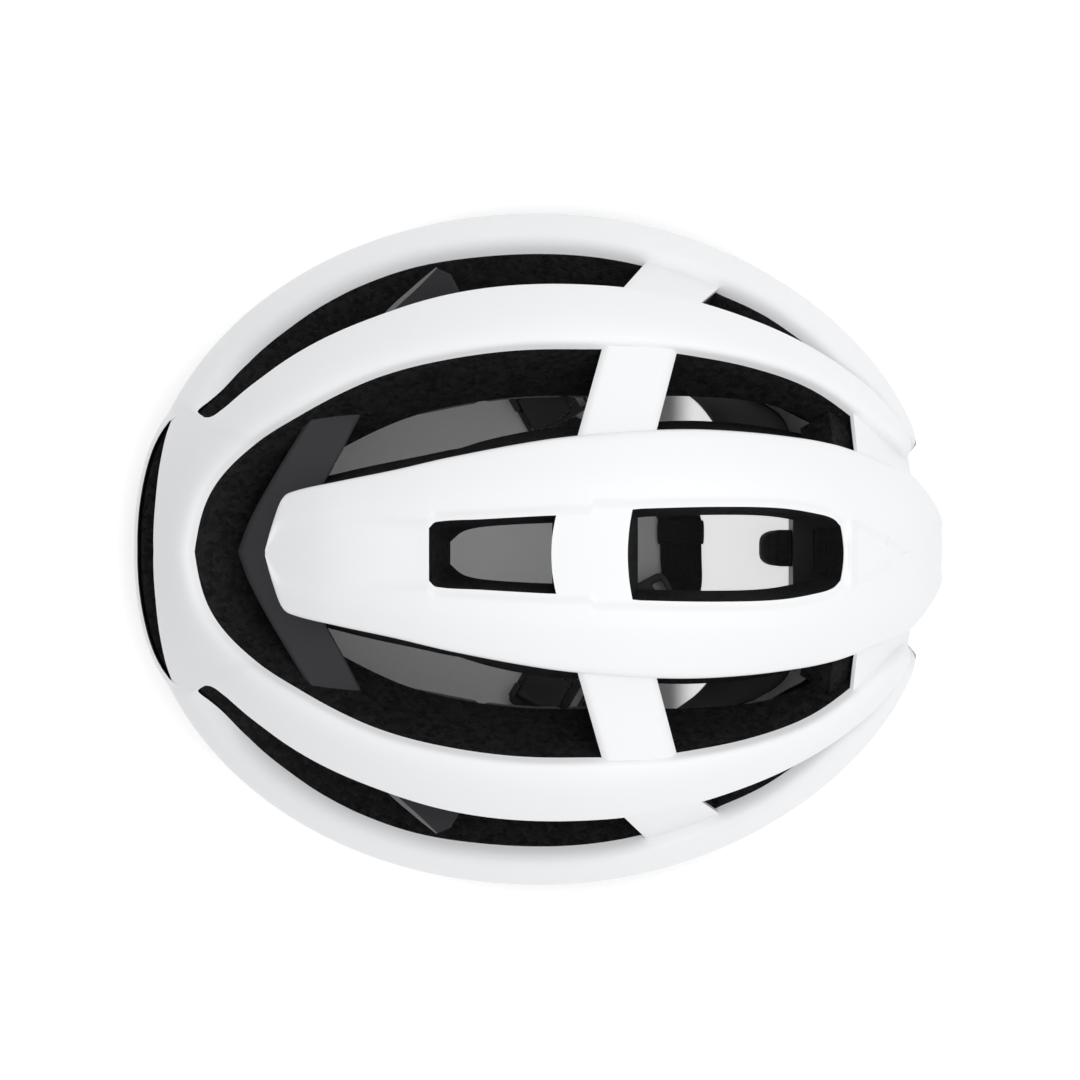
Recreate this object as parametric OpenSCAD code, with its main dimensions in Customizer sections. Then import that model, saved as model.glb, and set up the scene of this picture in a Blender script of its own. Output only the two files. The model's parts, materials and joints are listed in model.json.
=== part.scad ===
// Vented cycling helmet: two skins over a foam liner, a fit cradle and a buckled chin strap.
// Millimetres, +Z up. The brow faces -Y and the wearer's left is +X.
// The helmet stands on its rim at z = 0, with its straps lying inside.

/* [Helmet] */
// Length over brow and tail
helmet_l = 264; // [256:1:272]
// Width over the temples
helmet_w = 220; // [214:1:228]
// Height of the crown above the surface
helmet_h = 152; // [148:1:158]
// Height of the widest line at mid length
widest_z = 45; // [43:1:47]
// Thickness of the liner with its skin
liner_d = 28; // [26:1:30]
// Thickness of the moulded skins
skin_t = 1.4; // [1.2:0.1:1.5]

/* [Straps] */
// Width of the webbing
web_w = 14; // [12:1:15]
// Thickness of the webbing
web_t = 1.2; // [1:0.1:1.4]

/* [Fit cradle] */
// Height of the temple pivots
temple_z = 40; // [38:1:42]
// Distance of the temple pivots ahead of mid length
temple_y = 45; // [43:1:47]
// Height of the dial's axis above the surface
dial_z = 22; // [21:1:24]
// Radius of the dial
dial_r = 12.5; // [11:0.5:13]
// Teeth on the dial's pinion
pinion_teeth = 10; // [10:2:12]

/* [Hidden] */
$fn = 48;

white = "whitesmoke";
foam_black = [0.09, 0.09, 0.1];
charcoal = [0.2, 0.2, 0.22];
pad_grey = [0.14, 0.14, 0.16];
web_black = [0.07, 0.07, 0.08];
plastic_black = [0.1, 0.1, 0.11];

half_w = helmet_w/2;
half_l = helmet_l/2;
dome_h = helmet_h - widest_z;
// Climb of the widest line towards the rear
lean = 0.05;
// Roundness of the dome's side view, and of its plan ahead of and behind mid length
crown_power = 2.15;
front_power = 2.08;
rear_power = 1.96;
// Angle below the widest line that stands for the surface
wall_span = 60;
// Gap between a skin and the foam under it, and between foam mouldings
seat = 0.15;

// Azimuth runs from the brow (0) by the wearer's left (90) to the tail (180).
// Rise is the angle above the widest line. Each table holds [azimuth, value].
band_outer_rise = [[0, 20.4], [9, 19.7], [16, 17.6], [20, 15.3], [22, 14.4], [23.5, 14.8], [24.3, 20],
  [25.2, 25], [27, 28.6], [32, 32.1], [39, 34.9], [57, 39.1], [68, 40], [90, 39.9], [101, 38.8], [119, 34.9],
  [130, 31], [143, 24.4], [151.5, 18.6], [163, 12.5]];
band_inner_rise = [[0, 31.3], [12, 34.2], [25, 41.2], [35, 46.3], [48, 50.2], [69, 53.9], [90, 54.5],
  [104, 53], [122, 47.4], [133, 41.8], [144, 34.5], [155, 27.5], [163, 19]];
rim_rise = [[0, 10.3], [9, 10.6], [17, 10.8], [20, 11.8], [22, 13.2], [23.5, 14.3], [24.3, 19.5],
  [25.2, 21.6], [27, 20.8], [31, 21.2], [36, 22.6], [47, 23.6], [61, 24.4], [70, 24.8], [80, 26], [90, 26.3],
  [102, 26], [119, 25.4], [128, 23.8], [134, 23.4], [143, 22.2], [151.5, 17.9], [160.5, 11.2], [164.5, -6],
  [168, -9], [180, -10]];
// Share of the depth that an edge rolls in: shallow along the brow vent, none where rim and band run flush
rim_roll = [[0, 0.08], [16, 0.08], [21, 0.05], [23.5, 0], [24.4, 0], [26, 1], [30, 1], [180, 1]];
band_roll = [[0, 0.35], [16, 0.3], [21, 0.15], [23.5, 0], [24.4, 0], [26, 1], [30, 1], [180, 1]];
// Reach of the rim's lip beyond the dome, under the brow vent
brow_lip = [[0, 1.3], [9, 1.6], [17, 1.6], [21, 1], [24, 0], [26, 0], [180, 0]];
rim_bottom_z = [[0, 6], [30, 4], [46, 0], [60, 0], [72, 5], [90, 16], [105, 23], [118, 18],
  [132, 3], [138, 0], [150, 0], [165, 2], [180, 3]];
// Share of the dome's height that the rim keeps above the widest line, low beside the slots
rim_share = [[0, 1], [25.5, 1], [31, 0.92], [45, 0.75], [65, 0.66], [95, 0.64], [115, 0.68], [130, 0.84],
  [142, 0.97], [150, 1], [180, 1]];
// Draw-in of the wall below the widest line, draw-in of the nape, and thinning of the liner there
wall_tuck = [[0, 0.05], [140, 0.05], [180, 0.06]];
nape_draw = [[0, 0], [130, 0], [140, 0], [150, 0.012], [158, 0.04], [166, 0.08], [180, 0.095]];
nape_thin = [[0, 0], [140, 0], [164, 11], [180, 12]];
// Thinning of the band's foam towards the tail
band_thin = [[0, 0], [112, 0], [128, 4], [142, 10], [163, 16]];
// Half width of the spine at each distance behind mid length
spine_half = [[-86.2, 1.2], [-84.3, 9], [-81.6, 17], [-78.5, 19.3], [-64.3, 22.4], [-46, 26], [-28, 30],
  [0, 35], [20, 37.2], [45, 38.5], [65, 37.8], [84, 35.8], [94, 34], [103, 31.4]];
// Half width of the two openings in the spine
front_hole = [[-34.3, 8.1], [-32.3, 10], [-18, 10.9], [0, 11.9], [5, 12.1]];
rear_hole = [[28.5, 13.9], [32, 14.2], [56, 14.7], [75, 14.2], [88, 12.1], [92, 10.6], [94, 8.5]];

half_turn = [6, 12, 17, 20, 22, 23.5, 24.3, 25.2, 27, 29, 32, 36, 40, 47, 55, 63, 72, 81, 90, 99, 108, 117,
  125, 132, 138, 144, 150, 156, 160.5, 163];
band_azimuths = concat([for (i = [len(half_turn) - 1:-1:0]) -half_turn[i]], [0], half_turn);
rim_azimuths = concat(band_azimuths, [164.5, 168, 173, 180, 187, 192, 195.5]);
// Rows of the spine: [place along it, drop of the tail's rear face, place on the liner's inner face,
// half width]
spine_body = [-86.2, -84.3, -81.6, -78.5, -64.3, -46, -34.3, -32.3, -18, -6, 5, 12, 20, 28.5, 32, 44, 56,
  67, 78, 88, 92, 94];
spine_tail = [[99, 0, 94.5, 32.6], [105, 0, 98, 30.6], [111, 0, 99.7, 28.2], [117, 0, 101.2, 25.6],
  [122, 0, 102.3, 22.4], [126.5, 0, 103, 18.2], [129.4, 0, 103.3, 14], [130.8, 2, 103.5, 12],
  [130.8, 11, 103.7, 12], [129, 21, 103.9, 12]];
// The tail's rear face is bowed: its sides lie ahead of its middle
function tail_bow(y) = 3.6*max(0, y - 117)/14;
// The openings narrow downwards, so places on the inner face lie closer together round them
inner_place = [[-86.2, -86], [-52, -49], [-34.3, -28], [-32.3, -25.2], [-18, -15.5], [5, 3.8], [16, 16],
  [28.5, 30.5], [56, 54.5], [94, 87.5]];
// The spine's edge rolls in as it goes down, so its rows are wider by the same share
edge_out = 1/(1 - 5/half_w);
spine_rows = concat([for (y = spine_body) [y, 0, curve(inner_place, y), edge_out*curve(spine_half, y)]],
  [for (r = spine_tail) [r[0], r[1], r[2], edge_out*r[3]]]);

function mix(a, b, f) = a + (b - a)*f;
function unit(v) = v/norm(v);

// Smooth curve through [position, value] pairs, where a value is a number or a point
function knot(t, x, i = 0) = i > len(t) - 3 || x < t[i + 1][0] ? i : knot(t, x, i + 1);
function rate(t, i) =
  let (lo = t[max(i - 1, 0)], hi = t[min(i + 1, len(t) - 1)]) (hi[1] - lo[1])/(hi[0] - lo[0]);
function curve(t, x) =
  let (i = knot(t, x), w = t[i + 1][0] - t[i][0], f = (x - t[i][0])/w, g = 1 - f)
  g*g*(1 + 2*f)*t[i][1] + f*f*(3 - 2*f)*t[i + 1][1] + f*g*w*(g*rate(t, i) - f*rate(t, i + 1));

// Point of the dome at an azimuth and rise, a depth below the outer surface
function plan_power(a) = cos(a) > 0 ? front_power : rear_power;
function outline(a) =
  let (n = plan_power(a)) pow(pow(abs(sin(a)), n) + pow(abs(cos(a)), n), -1/n);
function turn(a) = abs(a > 180 ? a - 360 : a);
function skin(a, b, d) =
  let (n = 2/crown_power,
       side = outline(a)*(b > 0 ? pow(cos(b), n) : 1 - curve(wall_tuck, turn(a))*pow(b/wall_span, 2)),
       x = (half_w - d)*sin(a)*side, y = -(half_l - d)*cos(a)*side, base = widest_z + lean*y)
  [x, y, b > 0 ? base + (dome_h - d)*pow(sin(b), n) : base*(1 + b/wall_span)];
// Point under a place in plan, drawn in towards the middle as it goes deeper
function below(x, y, d) =
  let (p = over(x, y, 0), k = 1 - d/dome_h, base = widest_z + lean*y)
  [x*(1 - d/half_w), y*(1 - d/half_l), base + (p[2] - base)*k];
// Point of the same surface straight above a place in plan
function over(x, y, d) =
  let (n = y < 0 ? front_power : rear_power,
       r = pow(pow(abs(x)/(half_w - d), n) + pow(abs(y)/(half_l - d), n), 1/n),
       w = r < 1 ? pow(1 - pow(r, crown_power), 1/crown_power) : 0)
  [x, y, widest_z + lean*y + (dome_h - d)*w];

// Closed solid between two grids of points, left open in the cells that hole names
module slab(top, under, hole = function (i, j) false, loop = false) {
  rows = len(top);
  cols = len(top[0]);
  cells = loop ? rows : rows - 1;
  at = function (i, j, side) (side*rows + i%rows)*cols + j;
  filled = function (i, j) (loop || (i >= 0 && i < cells)) && j >= 0 && j < cols - 1
    && !hole((i + cells)%cells, j);
  quad = function (a, b, c, d) [[a, b, c], [a, c, d]];
  faces = [for (i = [0:cells - 1], j = [0:cols - 2]) if (filled(i, j)) each [
    each quad(at(i, j, 0), at(i + 1, j, 0), at(i + 1, j + 1, 0), at(i, j + 1, 0)),
    each quad(at(i, j, 1), at(i, j + 1, 1), at(i + 1, j + 1, 1), at(i + 1, j, 1)),
    if (!filled(i - 1, j)) each quad(at(i, j, 0), at(i, j + 1, 0), at(i, j + 1, 1), at(i, j, 1)),
    if (!filled(i + 1, j))
      each quad(at(i + 1, j, 0), at(i + 1, j, 1), at(i + 1, j + 1, 1), at(i + 1, j + 1, 0)),
    if (!filled(i, j - 1)) each quad(at(i, j, 0), at(i, j, 1), at(i + 1, j, 1), at(i + 1, j, 0)),
    if (!filled(i, j + 1))
      each quad(at(i, j + 1, 0), at(i + 1, j + 1, 0), at(i + 1, j + 1, 1), at(i, j + 1, 1))]];
  polyhedron(concat([for (row = top) each row], [for (row = under) each row]), faces);
}

// One moulding out of several sculpted solids
module moulding() resize([0, 0, 0]) children();

// Section of a rib: [place across the rib from -1 to 1, depth]
rib_face = [[1, 5], [0.94, 1.8], [0.7, 0.5], [0, 0], [-0.7, 0.5], [-0.94, 1.8], [-1, 5]];
rib_back = [[0.9, 5], [0.86, 3.2], [0.65, skin_t + 0.6], [0, skin_t], [-0.65, skin_t + 0.6],
  [-0.86, 3.2], [-0.9, 5]];
foam_face = [[1, 5 + seat], [0.89, 5 + seat], [0.84, 3.5], [0, skin_t + seat], [-0.84, 3.5],
  [-0.89, 5 + seat], [-1, 5 + seat]];

function band_outer(a) = curve(band_outer_rise, turn(a));
function band_inner(a) = curve(band_inner_rise, turn(a));
function rolled(table, a, flat, d) = mix(flat, d, min(max(curve(table, turn(a)), 0), 1));
function band_section(a, face) =
  let (mid = (band_inner(a) + band_outer(a))/2, half = (band_inner(a) - band_outer(a))/2)
  [for (p = face) skin(a, mid + half*p[0], p[0] < 0 ? rolled(band_roll, a, face[3][1], p[1]) : p[1])];
function foam_under(a) =
  [for (p = foam_face) [p[0], liner_d - curve(band_thin, turn(a))]];

// The rim's section from its upper edge over the widest line to its bottom edge
function rim_top(a) = min(curve(rim_rise, turn(a)), band_outer(a) - 0.5);
function rim_low(a) =
  let (z = max(0, curve(rim_bottom_z, turn(a))), base = skin(a, 0, 0)[2]) -wall_span*(1 - z/base);
function rim_point(a, b, d) =
  let (p = skin(a, b, d), base = widest_z + lean*p[1], low = min(max((8 - b)/20, 0), 1),
       in = 1 - low*curve(nape_draw, turn(a)) + curve(brow_lip, turn(a))/half_l)
  [p[0]*in, p[1]*in, p[2] > base ? mix(base, p[2], curve(rim_share, turn(a))) : p[2]];
function rim_section(a, edge, depth) =
  let (t = rim_top(a), e = min(0, t - 8), low = rim_low(a), hem = low + 4,
       b = [t - edge[0], t - edge[1], t - edge[2], mix(t - edge[2], e, 0.5), e, mix(e, hem, 0.5), hem, low])
  [for (j = [0:len(depth) - 1])
    rim_point(a, b[j], j < 3 ? rolled(rim_roll, a, depth[3], depth[j]) : depth[j])];
function rim_under(a) =
  let (thin = curve(nape_thin, turn(a)))
  [for (less = [0, 0, 0, 1, 2, 4, 5.6, 6]) liner_d - less - thin];

// The spine's section: places across it, where the openings lie between -k and k, and depths
function spine_hole(y) = y < 16 ? curve(front_hole, min(max(y, -34.3), 5))
  : curve(rear_hole, min(max(y, 28.5), 94));
function spine_across(r) =
  let (k = r[0] < -70 ? 0.36 : r[0] > 96 ? max(arrow_half(r[0]), 3)/r[3] : spine_hole(r[0])/r[3])
  [-1, -0.95, -0.8, -0.58, -k, 0, k, 0.58, 0.8, 0.95, 1];
// Shallow arrow behind the rear opening, pointing to the tail
arrow_tip = 119;
arrow_dip = 1;
function arrow_half(y) = 11.5*(arrow_tip - y)/22;
spine_face = [5, 1.8, 0.6, 0, 0.7, 0.7, 0.7, 0, 0.6, 1.8, 5];
spine_back = [5, 3.4, 2.2, skin_t, 2.1, 2.1, 2.1, skin_t, 2.2, 3.4, 5];
spine_foam_face = [for (d = spine_back) d + seat];
// Draw-in of a back face from the sides, so that a skin keeps its thickness down to its edge
spine_draw = [1.4, 1.3, 0.8, 0.2, 0, 0, 0, 0.2, 0.8, 1.3, 1.4];
// The edges roll in less towards the tip of the nose
function nose(r) = min(1, r[3]/12);
function spine_grid(depth, draw, sink = 0) =
  [for (r = spine_rows) let (s = spine_across(r))
    [for (j = [0:10]) let (x = r[3]*s[j] - sign(s[j])*draw*spine_draw[j]*nose(r))
      below(x, r[0] - tail_bow(r[0])*s[j]*s[j], mix(depth[5], depth[j], nose(r)) + sink*tail_bow(r[0])
        + (j == 5 && r[0] > 96 && r[0] < 115 ? arrow_dip : 0)) - [0, 0, r[1]]]];
// Width of the ledge in the foam that the skin's edge stands on
skin_ledge = 1.6;
function spine_foam_top() =
  let (grid = spine_grid(spine_foam_face, 1, 0.15), shoulder = spine_grid(spine_foam_face, 1, 0.7))
  [for (i = [0:len(grid) - 1]) let (r = spine_rows[i], ledge = skin_ledge*nose(r))
    [for (j = [0:10]) j%6 == 2 ? shoulder[i][j] : j > 2 && j < 8 ? grid[i][j]
      : below(sign(j - 5)*(j%8 == 1 ? r[3] - ledge : r[3]), r[0] - tail_bow(r[0]),
        mix(spine_back[5], 5, nose(r)) + seat + 0.7*tail_bow(r[0])) - [0, 0, r[1]]]];
// Width of an opening on the foam's inner face, as a share of its width at the top
foam_hole = [[-34.3, 0.57], [-32.3, 0.76], [-18, 0.79], [5, 0.78], [28.5, 0.8], [94, 0.81]];
function spine_foam_under() =
  [for (r = spine_rows) let (s = spine_across(r))
    [for (j = [0:10]) over(r[3]*s[j]*(j > 3 && j < 7 ? curve(foam_hole, min(max(r[0], -34.3), 94)) : 1.03),
      r[2], liner_d)]];
// Cells of the spine that its two openings take
spine_open = function (i, j) (j == 4 || j == 5) && spine_rows[i][0] < 93
  && ((spine_rows[i][0] > -35 && spine_rows[i][0] < 4) || spine_rows[i][0] > 28);

// Edges of the inner cross-bridges and rear decks in plan, on the left: [front edge, rear edge]
inner_bridge = [[[34.5, 11], [64.5, 19.5]], [[36.5, 35.5], [64, 43]]];
rear_deck = [[[30.5, 99], [45, 98]], [[23, 118.5], [32.5, 118.5]]];
function panel_grid(edges, side, depth, dip) =
  [for (i = [0:4]) [for (j = [0:4])
    let (q = side > 0 ? j/4 : 1 - j/4,
         p = mix(mix(edges[0][0], edges[0][1], q), mix(edges[1][0], edges[1][1], q), i/4))
    over(side*p[0], p[1], depth + 4*q*(1 - q)*dip)]];
module panels(edges, depth, dip, room = 0) for (side = [-1, 1])
  slab(panel_grid(edges, side, depth - room, dip), panel_grid(edges, side, depth + skin_t + room, dip));
module bridge_panels(room = 0) {
  panels(inner_bridge, 3.5, 1.8, room);
  panels(rear_deck, 3.2, 3, room);
}
// Outer cross-bridge: falls from the band's outer edge to the rim's upper edge
bridge_at_band = [104.5, 118];
bridge_at_rim = [107, 119.5];
function slot_grid(side, depth, top_gap, low_gap) =
  [for (i = [0:4]) let (f = side > 0 ? i/4 : 1 - i/4, a = side*mix(bridge_at_band[0], bridge_at_band[1], f),
      c = side*mix(bridge_at_rim[0], bridge_at_rim[1], f))
    [for (j = [0:3]) mix(skin(a, band_outer(a) - top_gap, depth),
      rim_point(c, rim_top(c) - low_gap, depth), j/3)]];
module slot_bridges(top, under, top_gap, low_gap) for (side = [-1, 1])
  slab(slot_grid(side, top, top_gap, low_gap), slot_grid(side, under, top_gap, low_gap));

module upper_shell() color(white) moulding() {
  slab([for (a = band_azimuths) band_section(a, rib_face)],
       [for (a = band_azimuths) band_section(a, rib_back)]);
  slab(spine_grid(spine_face, 0), spine_grid(spine_back, 1), spine_open);
  bridge_panels();
}

module lower_shell() color(white) moulding() {
  slab([for (a = rim_azimuths) rim_section(a, [0, 1.5, 4.5], [5, 1.8, 0.5, 0, 0, 0, 0])],
       [for (a = rim_azimuths) rim_section(a, [1, 2.2, 5],
         [5, 3.2, 2, skin_t, skin_t, skin_t, skin_t])], loop = true);
  slot_bridges(3.4, 3.4 + skin_t, 0.4, 1.2);
}

// Charcoal V under the front windows, from the middle outwards: [front edge, rear edge, depth of each, drop]
brace_line = [[[0, -96], [0, -78], [15, 16], 0], [[9, -92.5], [10, -74], [15, 16], 0],
  [[19, -87], [22, -67.5], [14, 16.5], 0], [[32, -79], [34, -61], [11.5, 17.5], 0],
  [[43, -72], [45, -55], [8.5, 18], 0], [[59, -62], [60, -43], [8.5, 14], 1],
  [[75, -50], [74, -30.5], [8, 8], 5], [[84, -41], [81, -25.5], [5.5, 5.5], 11],
  [[89.5, -34.5], [87, -30], [4, 4], 15]];
brace_t = 2.6;
function brace_grid(depth, grow) =
  [for (k = [-8:8]) let (p = brace_line[abs(k)], side = k < 0 ? -1 : 1, n = unit(p[1] - p[0]))
    [for (q = [1, 0.5, 0]) let (e = mix(p[0] - grow*n, p[1] + grow*n, q))
      over(side*e[0], e[1], mix(p[2][0], p[2][1], q)) - [0, 0, p[3] + depth]]];
module brace_solid(grow = 0)
  slab(brace_grid(-grow, grow), brace_grid(brace_t + grow, grow));
module brace() color(charcoal) brace_solid();

// Foam under an inner cross-bridge or a rear deck: it runs from inside the spine, at each place along
// it, to just short of the band's inner wall below the given edge
function web_foam_grid(side, edges, depth, reach) =
  [for (i = [0:4]) let (near = mix(edges[0][0], edges[1][0], i/4), far = mix(edges[0][1], edges[1][1], i/4),
      inner = reach*[near[0], 0] + [0, near[1]], a = atan2(far[0]/half_w, -far[1]/half_l),
      wall = skin(a, band_inner(a) + 0.4, depth))
    [for (j = [0:4]) mix(below(side*inner[0], inner[1], depth), [side*wall[0], wall[1], wall[2]],
      side > 0 ? j/4 : 1 - j/4)]];
module web_foam(edges, top, under) for (side = [-1, 1])
  slab(web_foam_grid(side, edges, top, 0.8), web_foam_grid(side, edges, under, 1));
module spine_foam() color(foam_black) moulding() difference() {
  union() {
    slab(spine_foam_top(), spine_foam_under(), spine_open);
    web_foam(inner_bridge, 7.4, liner_d - 4);
    web_foam(rear_deck, 8, 20);
  }
  bridge_panels(seat);
  brace_solid(0.2);
}
module band_foam() color(foam_black) moulding() difference() {
  union() {
    slab([for (a = band_azimuths) band_section(a, foam_face)],
         [for (a = band_azimuths) band_section(a, foam_under(a))]);
    slot_bridges(5.6, liner_d - 6, -0.8, -0.4);
  }
  bridge_panels(seat);
  brace_solid(0.2);
}

module rim_foam() color(foam_black) moulding() difference() {
  face = skin_t + seat;
  slab([for (a = rim_azimuths) rim_section(a, [0, 1.15, 5],
         [5 + seat, 5 + seat, 2.3, face, face, face, face, face])],
       [for (a = rim_azimuths) rim_section(a, [0, 1.5, 4.5], rim_under(a))], loop = true);
  for (side = [-1, 1]) {
    temple_pocket(side);
    for (p = strap_anchor_places) anchor_pocket(side, p);
  }
}

// Cushion on the foam's inner face, thin at its edges; grid gives its points at a depth
pad_gap = 0.9;
pad_t = 6;
function pillow(i, rows, j, cols) =
  mix(0.35, 1, sin(180*i/rows))*mix(0.35, 1, sin(180*j/cols))*pad_t;
function band_pad_grid(side, from, to, margin, plump) =
  [for (i = [0:10]) let (a = mix(from, to, i/10)*side)
    [for (j = [0:4]) skin(a, mix(band_inner(a) - margin, band_outer(a) + margin, j/4),
      liner_d + pad_gap + plump*pillow(i, 10, j, 4))]];
module band_pad(from, to, margin)
  slab(band_pad_grid(1, from, to, margin, 0), band_pad_grid(1, from, to, margin, 1));
module brow_pad() color(pad_grey) band_pad(-36, 36, 2.5);
module side_pad_left() color(pad_grey) band_pad(52, 118, 2);
module side_pad_right() color(pad_grey) mirror([1, 0, 0]) band_pad(52, 118, 2);

// A crown pad keeps behind the spine, narrower towards the nose
function crown_pad_grid(plump) =
  [for (i = [0:10]) let (y = mix(-46, 58, i/10), start = min(16.5, 13 + 0.135*(y + 46)),
      end = min(30, 23 + 0.2*(y + 46)))
    [for (j = [0:3]) over(mix(start, end, j/3), y, liner_d + pad_gap + plump*pillow(i, 10, j, 3))]];
module crown_pad_left() color(pad_grey) slab(crown_pad_grid(0), crown_pad_grid(1));
module crown_pad_right() color(pad_grey) mirror([1, 0, 0]) slab(crown_pad_grid(0), crown_pad_grid(1));

// Strap anchors: plugs set square to the liner's inner wall, each with a slot for the webbing
strap_anchor_places = [[78.9, -28, 52], [72.7, 46, 52]];
anchor_r = 9.5;
anchor_l = 9;
// Depth of the webbing in an anchor's slot
web_hold = 3;
// Room below the webbing at the mouth of the slot
web_sag = 1.5;
function wall_normal(p) = unit([p[0]/pow(half_w - liner_d, 2), p[1]/pow(half_l - liner_d, 2), 0]);
module at_anchor(side, p)
  let (n = wall_normal(p)) mirror([side < 0 ? 1 : 0, 0, 0]) translate(p) rotate([0, 0, atan2(n[1], n[0])])
    rotate([0, 90, 0]) children();
module anchor_pocket(side, p)
  at_anchor(side, p) translate([0, 0, -20]) cylinder(r = anchor_r + seat, h = 20 + anchor_l + seat, $fn = 20);
module strap_anchors() color(plastic_black) for (side = [-1, 1], p = strap_anchor_places)
  at_anchor(side, p) difference() {
    translate([0, 0, -1.5]) cylinder(r = anchor_r, h = anchor_l + 1.5);
    translate([-web_t/2 - 0.3, -web_w/2 - 0.3, -2])
      cube([web_t + 0.6 + web_sag, web_w + 0.6, 2 + web_hold + 0.5]);
  }

// Flat band along a route: [step, centre], [step, direction across], [step, width]
function ribbon_grid(route, across, width, lift, rows) =
  let (last = len(route) - 1)
  [for (k = [0:rows]) let (t = last*k/rows, c = curve(route, t),
      along = curve(route, min(t + 0.02, last)) - curve(route, max(t - 0.02, 0)),
      w = unit(curve(across, t)), n = unit(cross(w, along)), half = curve(width, t)/2)
    [for (s = [-1, 1]) c + s*half*w + lift*n]];
module ribbon(route, across, width, thick, rows)
  slab(ribbon_grid(route, across, width, thick/2, rows), ribbon_grid(route, across, width, -thick/2, rows));
function steps(points) = [for (i = [0:len(points) - 1]) [i, points[i]]];

// Strap divider: a plate slotted for two straps and the chin strap, whose cam lever clamps them.
// Its own frame has the chin strap leaving along +Y and the rear strap entering from +X.
divider_place = [48.5, 1, 0.8];
divider_angle = 60;
divider_x = 13.5;
divider_y = 9;
divider_t = 2;
slot_w = 2.2;
web_slot = web_w + 1;
lever_y = -4.5;
lever_z = 4;
lever_w = 14.2;
lever_pin_r = 1.15;
ear_x = 8.5;
divider_across = [cos(divider_angle), sin(divider_angle), 0];
divider_along = [-sin(divider_angle), cos(divider_angle), 0];
// Where webbing meets an edge of the divider, at the middle of its plate
web_gap = 0.4;
function divider_edge(x, y) = divider_place + [0, 0, divider_t/2]
  + (x + sign(x)*web_gap)*divider_across + (y + sign(y)*web_gap)*divider_along;
module at_divider(side) mirror([side < 0 ? 1 : 0, 0, 0]) translate(divider_place)
  rotate([0, 0, divider_angle]) children();

web_width = [[0, web_w], [9, web_w]];
front_anchor = strap_anchor_places[0];
rear_anchor = strap_anchor_places[1];
front_route = steps([front_anchor + web_hold*wall_normal(front_anchor), [76.8, -27.4, 50.5], [76.2, -27, 44],
  [76, -25.5, 33], [73, -21, 19], [66, -12, 7.5], divider_edge(0, -divider_y)]);
front_across = [[0, [0.217, 0.976, 0]], [3, [0.22, 0.97, 0]], [6, divider_across]];
rear_route = steps([rear_anchor + web_hold*wall_normal(rear_anchor), [70.2, 45.2, 51], [69, 44.8, 44],
  [69.2, 43, 33], [67, 37, 19], [62, 25, 7.5], divider_edge(divider_x, 0)]);
rear_across = [[0, [-0.368, 0.93, 0]], [3, [-0.37, 0.93, 0]], [6, divider_along]];
module front_strap_left() color(web_black) ribbon(front_route, front_across, web_width, web_t, 18);
module front_strap_right() mirror([1, 0, 0]) front_strap_left();
module rear_strap_left() color(web_black) ribbon(rear_route, rear_across, web_width, web_t, 18);
module rear_strap_right() mirror([1, 0, 0]) rear_strap_left();

// Buckle: its own frame has the male half leaving along +X
buckle_place = [26, 28.5, 4.8];
buckle_angle = 118.5;
buckle_end = 20;
buckle_w = 21;
buckle_t = 7;
buckle_along = [cos(buckle_angle), sin(buckle_angle), 0];
module at_buckle() translate(buckle_place) rotate([0, 0, buckle_angle]) children();
module rounded(w, h, r) {
  square([w, h - 2*r], center = true);
  square([w - 2*r, h], center = true);
  for (x = [-1, 1], y = [-1, 1]) translate([x*(w/2 - r), y*(h/2 - r)]) circle(r);
}
module plate(w, h, r, t) translate([0, 0, -t/2]) linear_extrude(t) rounded(w, h, r);
mouth_x = 4;
socket_w = 17;
socket_t = 4.4;
module buckle_female() color(plastic_black) at_buckle() difference() {
  translate([(mouth_x - buckle_end)/2, 0, 0]) plate(buckle_end + mouth_x, buckle_w, 4, buckle_t);
  translate([-11, -socket_w/2, -socket_t/2]) cube([mouth_x + 12, socket_w, socket_t]);
  translate([-8.6, -buckle_w, -socket_t/2]) cube([7.2, 2*buckle_w, socket_t]);
  translate([-18, -web_w/2 - 0.5, -buckle_t]) cube([3.6, web_w + 1, 2*buckle_t]);
}
male_x = mouth_x + 0.4;
tongue_t = 3.6;
module buckle_male() color(plastic_black) at_buckle() {
  difference() {
    translate([(buckle_end + male_x)/2, 0, 0]) plate(buckle_end - male_x, buckle_w - 1, 3, buckle_t - 1);
    translate([14.4, -web_w/2 - 0.5, -buckle_t]) cube([3.6, web_w + 1, 2*buckle_t]);
  }
  translate([-9.5, -1.6, -tongue_t/2]) cube([10 + male_x, 3.2, tongue_t]);
}
module buckle_prongs() color(plastic_black) at_buckle() for (s = [-1, 1]) mirror([0, s < 0 ? 1 : 0, 0])
  translate([0, 0, -tongue_t/2]) linear_extrude(tongue_t)
    polygon([[male_x, 5.6], [male_x, 8.1], [-1.8, 8.1], [-1.8, 10], [-4, 10.6], [-8, 8.6], [-10, 6.6],
      [-10, 5.8], [-7, 6]]);

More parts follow.
